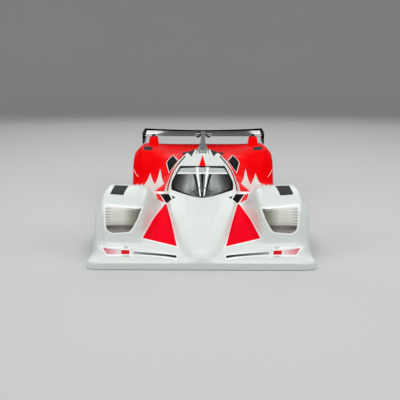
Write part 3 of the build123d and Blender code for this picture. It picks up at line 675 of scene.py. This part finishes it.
def add_web(bm, centre, x0, x1, outer_radius):
    """Adds the disc between hub and rim with its five windows, bowed spokes left between them."""
    _, station, z = centre
    count, rings = 100, [4.8, 6.4, WINDOW_INNER, 8, 9.5, 11, WINDOW_OUTER, 12.6, outer_radius]
    cells = set()
    for i in range(count):
        turn = (i + 0.5) / count * 5 - 0.25
        off = abs((turn + 0.5) % 1 - 0.5) * 2 * math.pi / 5
        for j in range(len(rings) - 1):
            middle = (rings[j] + rings[j + 1]) / 2
            reach = 0.3 + (middle - WINDOW_INNER) / 5.6 * 0.12 - (0.07 if j in (2, 5) else 0.0)
            if not (WINDOW_INNER < middle < WINDOW_OUTER and off < reach):
                cells.add((i, j))
    verts = {}

    def vert(i, j, x):
        key = (i % count, j, x)
        if key not in verts:
            a = 2 * math.pi * (i % count) / count
            verts[key] = bm.verts.new(at(x, station + rings[j] * math.cos(a), z + rings[j] * math.sin(a)))
        return verts[key]

    def wall(a, b):
        bm.faces.new((vert(*a, x0), vert(*b, x0), vert(*b, x1), vert(*a, x1)))

    for i, j in cells:
        for x in (x0, x1):
            bm.faces.new((vert(i, j, x), vert(i + 1, j, x), vert(i + 1, j + 1, x), vert(i, j + 1, x)))
        for other, edge in (((i - 1) % count, i), ((i + 1) % count, i + 1)):
            if (other, j) not in cells:
                wall((edge, j), (edge, j + 1))
        for other, edge in ((j - 1, j), (j + 1, j + 1)):
            if (i, other) not in cells:
                wall((i, edge), (i + 1, edge))


def toothed(station, z, root, tip, teeth):
    """The outline of a gear with teeth of an even shape."""
    points = []
    for i in range(teeth):
        for part, radius in ((0.0, root), (0.22, root), (0.38, tip), (0.62, tip), (0.78, root)):
            a = 2 * math.pi * (i + part) / teeth
            points.append((station + radius * math.cos(a), z + radius * math.sin(a)))
    return points


def make_axles():
    """Stub axles and the rear axle with hexagonal nuts, and the spur gear with its teeth."""
    centre = (0, *FRONT_AXLE)
    stub = [(STUB_RADIUS, 62.6), (STUB_RADIUS, 82.5), (1.2, 82.9)]
    nut = [(2.9, 80.3), (3.2, 80.6), (3.2, 82), (2.7, 82.4)]
    for side, sign in SIDES:
        turned_piece(f"front_axle_{side}", STEEL, f"knuckle_{side}", "x", centre, [(stub, 24), (nut, 6)],
                     sign, node=f"stub_axle_{side}")
    centre = (0, *REAR_AXLE)
    shaft = [(2.7, -77.9), (AXLE_RADIUS, -77.4), (AXLE_RADIUS, 77.1), (2.7, 77.6)]
    right_nut = [(4.8, -77.5), (5.2, -77.1), (5.2, -75.6), (4.8, -75.3)]
    left_nut = [(4.8, 75), (5.2, 75.3), (5.2, 76.8), (4.8, 77.2)]
    turned_piece("rear_axle_shaft", STEEL, "rear_axle", "x", centre,
                 [(shaft, 32), (right_nut, 6), (left_nut, 6)], node="rear_axle")
    bm = bmesh.new()
    prism(bm, toothed(*REAR_AXLE, 16.5, 17.4, 64), "x", -43, -40)
    turned(bm, "x", centre, [(8, -49.7), (8, -43.2), (12, -43.2), (12, -42.9)], 40)
    add_piece("spur_wheel", bm, SPUR_WHITE, "rear_axle", node="spur_gear")


def make_motor():
    """The motor's can with its end bell, shaft and pinion."""
    centre = (0, *MOTOR)
    can = [(17.2, -33), (18, -32.2), (18, 9.4), (17.6, 9.8), (17.6, 10.4), (18, 10.8), (18, 12), (17.2, 12.4)]
    shaft = [(STUB_RADIUS, -44), (STUB_RADIUS, -32)]
    turned_piece("motor_can_body", CAN, "root", "x", centre, [(can, 72), (shaft, 20)], node="motor")
    bell = [(17, 12.3), (17.2, 12.8), (17.2, 17), (16, 18.2), (6.4, 18.4), (6.2, 19), (0.5, 19)]
    turned_piece("motor_end_bell", NYLON, "root", "x", centre, [(bell, 72)], slot="moulded_plastic")
    bm = bmesh.new()
    prism(bm, toothed(*MOTOR, 5.1, 6.0, 21), "x", -44, -39)
    add_piece("pinion", bm, STEEL, "root", slot="steel")


def make_hidden_ends():
    """Soft edges on the CAD blocks that stay as they are, and the screws under the plates."""
    pairs = ("front_arm", "knuckle", "bulkhead", "side_link")
    names = [f"{pair}_{side}" for pair in pairs for side, _ in SIDES]
    for name in names + ["servo", "battery", "servo_horn"]:
        node = frame["nodes"][name]
        weld = node.modifiers.new("weld", "WELD")
        weld.merge_threshold = 1e-6
        bevel = node.modifiers.new("soft_edges", "BEVEL")
        bevel.width = (0.8 if name == "battery" else 0.3) * MM
        bevel.segments = 2
        bevel.limit_method = "ANGLE"
        bevel.angle_limit = math.radians(40)
        bevel.harden_normals = True
    spots = [(x, s) for s in (64, 88) for x in (-24, 24)]
    spots += [(x, s) for s in (112, 200, 233) for x in (-38, 38)]
    spots += [(x, s) for s in (252, 284) for x in (-35, 35)]
    spots += [(0, 56), (-8, 104), (8, 104), (0, 232), (0, 246)]
    bm = bmesh.new()
    for x, s in spots:
        turned(bm, "z", (x, s, 0), [(2.6, 4.62), (2.6, 4.48), (1.5, 4.4), (1.35, 4.55), (0.01, 4.55)], 20)
    add_piece("plate_screws", bm, BLACK_STEEL, "root", slot="steel")


make_towers()
make_wing()
make_fin()
for wheel_side in ("left", "right"):
    make_wheel(wheel_side, True)
    make_wheel(wheel_side, False)
make_axles()
make_motor()
make_hidden_ends()


class Chain:
    """Short calls that add nodes to a material. x, y and z are the place on the surface."""

    def __init__(self, mat):
        self.tree = mat.node_tree
        coords = add_node(self.tree, "TexCoord", {}).outputs["Object"]
        self.x, self.y, self.z = add_node(self.tree, "SeparateXYZ", {"Vector": coords}).outputs

    def maths(self, operation, a, b=0.0):
        return add_node(self.tree, "Math", {0: a, 1: b}, operation=operation).outputs[0]

    def wide(self):
        return self.maths("ABSOLUTE", self.x)

    def product(self, value, *others):
        for other in others:
            value = self.maths("MULTIPLY", value, other)
        return value

    def across(self, value, start, end):
        """0 to 1 from start to end, both in millimetres."""
        part = self.maths("DIVIDE", self.maths("SUBTRACT", value, start * MM), (end - start) * MM)
        return self.maths("MINIMUM", self.maths("MAXIMUM", part, 0.0), 1.0)

    def ramp(self, factor, *stops):
        node = add_node(self.tree, "ValToRGB", {"Fac": factor})
        elements = node.color_ramp.elements
        while len(elements) < len(stops):
            elements.new(0.5)
        for element, (position, rgb) in zip(elements, stops):
            element.position = position
            element.color = (*linear(rgb), 1)
        return node.outputs["Color"]

    def mix(self, factor, a, b, blend="MIX"):
        inputs = {"Factor": factor, "A": a, "B": b}
        return add_node(self.tree, "Mix", inputs, data_type="RGBA", blend_type=blend).outputs["Result"]

    def paint(self, value, *sockets):
        fill(self.tree, self.tree.nodes["Principled BSDF"], dict.fromkeys(sockets or ["Base Color"], value))


WHITE_LINE = material("white_print", (254, 254, 253), 0.36, vary=0.01, specular=0.2)
CHARCOAL = material("charcoal_print", (56, 58, 57), 0.5, vary=0.12, scale=90, specular=0.02)
BLACK_PRINT = material("black_print", (14, 15, 16), 0.5, vary=0.1, specular=0.02)
VALLEY_RED = material("valley_red_print", (248, 2, 34), 0.45, vary=0.03, specular=0.1, ior=1.1)
DARK_RED = material("dark_red_print", (184, 10, 22), 0.35, vary=0.05, specular=0.1)
BRIGHT_RED = material("bright_red_print", (226, 14, 28), 0.35, vary=0.04, specular=0.15)
SCREEN_GREY = material("screen_band_print", (186, 194, 190), 0.25, specular=0.2, vary=0.05, scale=140)
PALE_GREY = material("pale_grey_print", (198, 204, 199), 0.3, specular=0.2, vary=0.04, scale=200)
SCOOP_GREY = material("scoop_print", (150, 162, 150), 0.3, specular=0.2, vary=0.08, scale=200)
PINK = material("pink_print", (236, 170, 176), 0.3, specular=0.2)
SLIVER = material("sliver_print", (60, 62, 64), 0.3, specular=0.2)


def paint_gradients():
    """The fades of the lower lights and the slivers beside the nose, and a painted reflection on the
    windscreen.
    """
    c = Chain(PINK)
    width = c.across(c.wide(), 62, 77)
    c.paint(c.ramp(width, (0.0, (244, 240, 238)), (0.45, (240, 176, 182)), (1.0, (214, 92, 104))))
    c = Chain(SLIVER)
    width = c.across(c.wide(), 19, 53)
    c.paint(c.ramp(
        width, (0.0, (8, 12, 12)), (0.35, (44, 50, 50)), (0.75, (120, 126, 130)), (1.0, (172, 174, 182))))
    # Painted reflection on the windscreen: a pale band beside the middle, fading dark towards the outer sides
    # and towards the bottom edge.
    c = Chain(WINDOW)
    narrowing = c.product(c.maths("MAXIMUM", c.maths("ADD", c.y, 0.055), 0.0), 0.24)
    width = c.across(c.maths("ADD", c.wide(), narrowing), 0, 30)
    sideways = c.ramp(
        width, (0.0, (96, 102, 100)), (0.22, (120, 126, 123)), (0.3, (168, 174, 170)), (0.5, (134, 138, 135)),
        (0.72, (70, 72, 71)), (0.88, (26, 28, 28)), (1.0, (8, 9, 10)))
    back = c.across(c.y, -82, -60)
    painted_reflection_fade = c.ramp(back, (0.0, (60, 62, 62)), (0.5, (190, 192, 190)), (1.0, (255, 255, 255)))
    c.paint(c.mix(1.0, sideways, painted_reflection_fade, "MULTIPLY"))


def paint_lamps():
    """A bright lamp with a dark foot and dark inner side, crossed by thin lines in its outer half."""
    c = Chain(LAMP)
    wide = c.wide()
    width = c.across(wide, 49, 77)
    upright = c.ramp(
        c.across(c.z, 23, 44), (0.0, (118, 112, 106)), (0.12, (148, 141, 134)), (0.19, (74, 70, 62)),
        (0.28, (66, 62, 54)), (0.34, (206, 205, 198)), (0.5, (232, 232, 226)), (1.0, (234, 235, 230)))
    shade = c.ramp(
        width, (0.0, (104, 101, 90)), (0.2, (168, 166, 152)), (0.45, (250, 250, 245)), (1.0, (255, 255, 253)))
    body = c.mix(1.0, upright, shade, "MULTIPLY")
    off_middle = c.product(c.maths("ABSOLUTE", c.maths("SUBTRACT", width, 0.52)), 2.6)
    middle = c.maths("MAXIMUM", c.maths("SUBTRACT", 1.0, off_middle), 0.0)
    body = c.mix(c.product(middle, c.across(c.z, 30, 29.4), 0.6), body, (0.26, 0.235, 0.215, 1))
    wave = c.maths("SINE", c.product(c.z, 2 * math.pi / (LAMP_LINE_PITCH * MM)))
    faint = c.product(c.maths("ADD", wave, 1.0), c.across(c.z, 29.5, 30), 0.06)
    body = c.mix(faint, body, (0.2, 0.2, 0.19, 1))
    line = c.maths("GREATER_THAN", wave, 0.1)
    lines = c.product(line, c.across(wide, 70.5, 74.5), c.across(c.z, 29, 31), 0.6)
    c.paint(c.mix(lines, body, (0.23, 0.25, 0.23, 1)))


def paint_wing_edges():
    """Matt black borders along the blade's rear edge and ends, by less shine there."""
    c = Chain(BLACK_PLASTIC)
    sideways = c.across(c.wide(), 75.4, 75)
    c.paint(c.product(c.across(c.y, 167.4, 166.8), sideways), "Specular IOR Level", "Coat Weight")


def paint_weave():
    """A fine twill of lighter and darker threads on the carbon plates."""
    c = Chain(CARBON)
    pitch = 2 * math.pi / (WEAVE_PITCH * MM)
    turns = [c.product(c.maths(way, c.x, c.y), pitch) for way in ("ADD", "SUBTRACT")]
    threads = c.product(*[c.maths("SINE", turn) for turn in turns])
    c.paint(c.ramp(c.maths("GREATER_THAN", threads, 0.0), (0.0, (19, 19, 21)), (1.0, (40, 41, 44))))


paint_gradients()
paint_lamps()
paint_wing_edges()
paint_weave()


def left_of(a, b):
    """The unit vector to the left of the way from one point to another."""
    du, dv = b[0] - a[0], b[1] - a[1]
    length = math.hypot(du, dv)
    return -dv / length, du / length


def grown(outline, distance):
    """An outline moved outward by a distance, or inward by a negative one, with mitred corners."""
    area = sum(a[0] * b[1] - b[0] * a[1] for a, b in closed(outline))
    outward = -1 if area > 0 else 1
    moved = []
    for before, (here, after) in zip(outline[-1:] + outline, closed(outline)):
        (au, av), (bu, bv) = left_of(before, here), left_of(here, after)
        size = outward * math.hypot(au + bu, av + bv)
        nu, nv = (au + bu) / size, (av + bv) / size
        stretch = min(3.0, 1 / max(0.2, outward * (nu * au + nv * av)))
        moved.append((here[0] + nu * distance * stretch, here[1] + nv * distance * stretch))
    return moved


def ribbon(line, width):
    """The outlines of the pieces of a band along a line of points."""
    left, right = [], []
    for index, here in enumerate(line):
        nu, nv = left_of(line[max(0, index - 1)], line[min(len(line) - 1, index + 1)])
        left.append((here[0] + nu * width / 2, here[1] + nv * width / 2))
        right.append((here[0] - nu * width / 2, here[1] - nv * width / 2))
    return [(left[i], left[i + 1], right[i + 1], right[i]) for i in range(len(line) - 1)]


def ring(outer, inner):
    """The band between two outlines that have the same number of points."""
    return [(a, b, d, c) for (a, b), (c, d) in zip(closed(outer), closed(inner))]


def sight(how, u, v):
    """Where a ray of a print starts and which way it goes, for a point of its outline in metres."""
    if how == "above":
        return Vector((u, v, 0.2)), Vector((0, 0, -1))
    if how == "front":
        return Vector((u, -0.3, v)), Vector((0, 1, 0))
    return EYE, (Vector((u, -HALF_LENGTH * MM, v)) - EYE).normalized()


def decal(name, outlines, mat, lift=0.09, how="above", both=True, step=0.8, reach=(0, 360), long=20):
    """A thin print on the shell. how says from where its outlines are seen: above, front or the eye point.

    Only what meets the skin between the two stations of reach stays, without faces longer than long.
    """
    bm = bmesh.new()
    for outline in outlines:
        for side in (1, -1) if both else (1,):
            points = [(side * u * MM, (v - HALF_LENGTH if how == "above" else v) * MM, 0) for u, v in outline]
            bm.faces.new([bm.verts.new(point) for point in points])
    bmesh.ops.triangulate(bm, faces=bm.faces[:])
    cell = step * MM
    for axis in (0, 1):
        values = [vert.co[axis] for vert in bm.verts]
        value = math.ceil(min(values) / cell) * cell
        while value < max(values):
            cut_plane(bm, [*bm.verts, *bm.edges, *bm.faces], (axis,), (value,), (1,))
            value += cell
    lost = []
    for vert in bm.verts:
        start, aim = sight(how, vert.co.x, vert.co.y)
        point, normal, _, _ = skin.ray_cast(start, aim)
        if point is None or not reach[0] <= point.y / MM + HALF_LENGTH <= reach[1]:
            lost.append(vert)
            continue
        vert.co = point + (-normal if normal.dot(aim) > 0 else normal) * lift * MM
    bmesh.ops.delete(bm, geom=lost, context="VERTS")
    torn = [face for face in bm.faces if max(edge.calc_length() for edge in face.edges) > long * MM]
    bmesh.ops.delete(bm, geom=torn, context="FACES")
    bmesh.ops.remove_doubles(bm, verts=bm.verts[:], dist=2e-6)
    bm.normal_update()
    for face in bm.faces:
        towards = Vector((0, 0, -1)) if how == "above" else face.calc_center_median() - EYE
        if face.normal.dot(towards) > 0:
            face.normal_flip()
    obj = make_object(name, bm, 40)
    obj.data.materials.append(mat)
    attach(obj, "root")


def framed(name, outline, mat, border, **options):
    """A print with a white border round it."""
    decal(f"{name}_border", ring(grown(outline, border), outline), WHITE_LINE, **options)
    decal(name, [outline], mat, **options)


def make_screen_prints():
    """The bands, bars and edges printed on the windscreen, all as seen from the eye point."""
    half = [
        (16, 79.7), (19.9, 72.6), (22.1, 67), (22.6, 63.2),
        (22.1, 62.2), (14.6, 59.7), (7.3, 57.5), (2.4, 56.6)]
    whole = [(0, 79.7)] + half + [(0, 56.5)] + flipped(half)
    top = [(15.9, 79.5), (16.7, 78.2), (8.4, 78.7), (5.2, 78.7), (4.8, 79.6)]
    corner = [
        [(22, 62.2), (14.6, 59.9), (16.1, 61.2), (20, 63.2)],
        [(14.6, 59.9), (7.3, 57.9), (16.1, 61.2)],
        [(22.6, 63.2), (22, 62.2), (20, 63.2), (21.2, 65.9)],
        [(22.6, 63.2), (21.2, 65.9), (20.9, 69.6), (21.6, 69.6)]]
    light_bar = [(4.8, 78.7), (3, 78.7), (1.2, 60.2), (1, 57.2), (1.6, 57.2), (2.2, 60.2)]
    centre_bars = [
        [(-1.1, 74.1), (1.1, 74.1), (0.4, 64.7), (-0.4, 64.7)],
        [(-0.35, 60.6), (0.35, 60.6), (0.4, 57), (-0.4, 57)]]
    arc = [(8.1, 60.4), (5.8, 61.2), (3.2, 63), (1.6, 63.8), (0, 64.1)]
    for name, outlines, mat, lift, both in (
            ("edge", ring(grown(whole, 0.25), grown(whole, -0.45)), BLACK_PRINT, 0.1, False),
            ("top_shade", [top], BLACK_PRINT, 0.1, True),
            ("corner_shade", corner, BLACK_PRINT, 0.1, True),
            ("band", [[(15.7, 78.3), (18, 75), (0, 75), (0, 78.8)]], SCREEN_GREY, 0.07, True),
            ("band_edge", [[(18, 75), (18.4, 74.1), (0, 74.1), (0, 75)]], WHITE_LINE, 0.07, True),
            ("dark_bars", [[(6.8, 74.1), (5.1, 74.1), (2.3, 60.2), (3.1, 60.2)]], BLACK_PRINT, 0.09, True),
            ("light_bars", [light_bar], WHITE_LINE, 0.13, True),
            ("centre_bar", centre_bars, BLACK_PRINT, 0.09, False),
            ("arc", ribbon(arc, 0.45), BLACK_PRINT, 0.15, True)):
        decal("screen_" + name, outlines, mat, lift=lift, how="seen", both=both, step=0.5)


def make_valley_prints():
    """The dark shape on the front fender, and the red and dark shapes between canopy and fender."""
    decal("fender_louvre_print", [[(75, 71), (63.1, 70.8), (64.5, 46), (75.2, 46)]], CHARCOAL)
    valley = [(26.2, 51.3), (27.7, 51.3), (36, 40.3), (44.3, 25.3), (18.4, 18.8), (23, 39.3)]
    framed("valley_triangle", valley, VALLEY_RED, 1.0, how="seen", step=0.5)
    seen = {"how": "seen", "step": 0.4}
    line = [(26.3, 60.7), (35.3, 61), (34.3, 59.8), (31, 59), (25.3, 59.2)]
    decal("arrow_line", [line], WHITE_LINE, lift=0.12, **seen)
    framed("lower_arrow", [(31.2, 58.6), (34.2, 59.6), (33.2, 54.9), (27.9, 52.4)], RED, 0.4, **seen)
    intake = [(24.7, 59.1), (31.2, 58.9), (26.2, 51.8), (22.3, 55.1)]
    framed("intake_print", intake, BLACK_PRINT, 0.35, **seen)
    decal("intake_corner", [[(22.6, 57.9), (21.5, 55.2), (19.8, 56.5)]], BLACK_PRINT, **seen)


def make_deck_prints():
    """The dark shapes on deck and roof, the lines beside the canopy and the triangle on the roof."""
    framed("deck_diamond", [(35, 251.4), (41.6, 236.4), (37.4, 213.9), (28.3, 228.5)], BLACK_PRINT, 0.6)
    decal("rear_fender_print", [[(71.7, 276.6), (60.9, 284), (61.2, 265.6), (70.8, 266.7)]], CHARCOAL)
    shards = [
        (7.8, 180), (11.4, 167.2), (16.2, 179), (19.5, 194), (25, 221), (20.5, 212), (15, 206), (9.4, 198)]
    framed("roof_shards", shards, CHARCOAL, 0.4)
    seen = {"how": "seen", "step": 0.3}
    shards = [(4.8, 91.4), (10.5, 90.5), (15.6, 89.6), (14.4, 88.2), (11, 88.8)]
    decal("deck_shards", [shards], CHARCOAL, reach=(222, 300), long=30, **seen)
    stripe = [
        (12.6, 87.2), (15.2, 84.2), (18, 80.9), (20.7, 76.7),
        (22.5, 73), (24, 68.9), (25, 65.1), (25.6, 61.4)]
    decal("canopy_stripe_head", ribbon(stripe[:3], 0.9), CHARCOAL, reach=(100, 185), **seen)
    decal("canopy_stripe", ribbon(stripe[2:], 0.9), DARK_RED, reach=(100, 185), **seen)
    seen["step"] = 0.4
    foot = [(-2.3, 79.5), (2.3, 79.5), (2.2, 78.8), (-2.2, 78.8)]
    decal("roof_triangle", [[(0, 88.1), (2.7, 79.5), (-2.7, 79.5)]], RED, both=False, **seen)
    decal("roof_triangle_foot", [foot], BLACK_PRINT, both=False, **seen)
    scoop = [(-4.4, 184.4), (4.4, 184.4), (4.1, 172.8), (-4.1, 172.8)]
    decal("roof_scoop_print", [scoop], SCOOP_GREY, both=False)
    decal("roof_scoop_edge", ring(grown(scoop, 0.1), grown(scoop, -0.5)), CHARCOAL, lift=0.12, both=False)
    decal("roof_scoop_side", ribbon([(6.4, 190), (6, 180), (6.2, 171.5)], 0.5), CHARCOAL, lift=0.12)
    stripe = [(50.6, 77.4), (50.3, 76.9), (49.3, 74.4), (47.4, 71.9)]
    decal("fender_pinstripe", ribbon(stripe, 0.3), WHITE_LINE, reach=(220, 262), **seen)


def make_front_prints():
    """The white borders of the headlights, and the small lights and slivers below them."""
    front = {"how": "front"}
    lamp = [(76.6, 43.3), (48, 40.9)] + HEADLIGHT[2:]
    border = ring(rounded(grown(lamp, 1.3), 2.4), rounded(grown(lamp, -0.1), 1.8))
    corner = [[lamp[0], lamp[1], HEADLIGHT[1], HEADLIGHT[0]], [lamp[1], lamp[2], HEADLIGHT[1]]]
    decal("headlight_border", border, WHITE_LINE, step=0.5, **front)
    decal("headlight_corner", corner, LAMP, step=0.5, **front)
    outer = [(79.3, 14.2), (56.6, 14.6), (52.9, 8.2), (73.5, 8.4)]
    inner = [(76.9, 13.6), (56.1, 12.1), (55.1, 9.5), (73.3, 9.6)]
    light = [(76.9, 13.6), (62.3, 12.1), (62, 9.5), (73.3, 9.6)]
    block = [(62.3, 12.1), (56.1, 12.1), (55.1, 10.7), (56.1, 9.5), (62, 9.4)]
    marks = [
        [(61.2, 14.6), (59.6, 13.1), (56.9, 13.1), (56.4, 14.5)],
        [(61.2, 8.3), (60.6, 8.9), (55.9, 8.9), (54.9, 8.2)]]
    sliver = [(52.7, 11.4), (19.1, 8.9), (19, 7.9), (52.3, 9.6)]
    decal("front_light_border", ring(outer, inner), WHITE_LINE, **front)
    decal("front_light", [light], PINK, **front)
    decal("front_light_block", [block], BRIGHT_RED, **front)
    decal("front_light_mark", marks, PALE_GREY, lift=0.14, **front)
    framed("front_sliver", sliver, SLIVER, 0.7, step=0.5, **front)


make_valley_prints()
make_deck_prints()
make_screen_prints()
make_front_prints()


def make_floor():
    """A flat disc that curves up into a round wall."""
    bm = bmesh.new()
    bends = [math.pi / 2 * i / 10 for i in range(1, 11)]
    profile = [(1.5, 0.0), (2.2, 0.0), *[(2.2 + 0.8 * math.sin(a), 0.8 - 0.8 * math.cos(a)) for a in bends]]
    turns = [2 * math.pi * i / 72 for i in range(72)]
    centre = bm.verts.new((0, 0, 0))
    before = None
    for radius, z in profile + [(3.0, 2.2)]:
        row = [bm.verts.new((radius * math.cos(a), radius * math.sin(a), z)) for a in turns]
        for (a, b), (c, d) in zip(closed(before or row), closed(row)):
            bm.faces.new((a, b, d, c) if before else (centre, c, d))
        before = row
    bmesh.ops.recalc_face_normals(bm, faces=bm.faces)
    floor = make_object("studio_floor", bm, 60)
    floor.data.materials.append(material("pale_floor", (206, 207, 206), 0.6, vary=0.01, scale=2))


def make_lights():
    """Even light from the sky and softboxes that all aim at the car."""
    world = bpy.data.worlds.new("studio")
    bpy.context.scene.world = world
    world.use_nodes = True
    background = world.node_tree.nodes["Background"]
    background.inputs["Color"].default_value = (0.9, 0.92, 0.95, 1)
    background.inputs["Strength"].default_value = 0.32
    for name, place, power, size, size_y in (
            ("top", (0.0, -0.1, 1.3), 9.0, 1.1, 0.8),
            ("left", (-1.2, -0.7, 0.8), 4.0, 0.7, 0.7),
            ("right", (1.2, -0.5, 0.8), 4.0, 0.7, 0.7),
            ("front", (0.0, -1.7, 0.5), 3.0, 1.0, 0.5),
            ("rear_left", (-0.41, 1.3, 0.8), 1.9, 0.55, 0.55),
            ("rear_right", (0.43, 1.3, 0.82), 1.8, 0.55, 0.55)):
        lamp = bpy.data.lights.new(name + "_softbox", "AREA")
        lamp.shape = "RECTANGLE"
        lamp.size = size
        lamp.size_y = size_y
        lamp.energy = power
        obj = bpy.data.objects.new(name + "_softbox", lamp)
        bpy.context.scene.collection.objects.link(obj)
        obj.location = place
        obj.rotation_mode = "QUATERNION"
        obj.rotation_quaternion = (Vector((0, 0, 0.03)) - Vector(place)).to_track_quat("-Z", "Y")


def make_camera():
    """The photograph's viewpoint, fitted to the outline of the nose, canopy and wing."""
    camera = bpy.data.cameras.new("photo_camera")
    camera.lens = 50.94
    camera.sensor_width = 36.0
    camera.clip_start = 0.01
    camera.clip_end = 50.0
    obj = bpy.data.objects.new("photo_camera", camera)
    bpy.context.scene.collection.objects.link(obj)
    obj.location = (0.0032, -0.5895, 0.1405)
    obj.rotation_euler = (math.radians(90 - 11.85), 0.0, math.radians(0.577))
    bpy.context.scene.camera = obj


make_floor()
make_lights()
make_camera()
bpy.context.scene.view_settings.view_transform = "Standard"
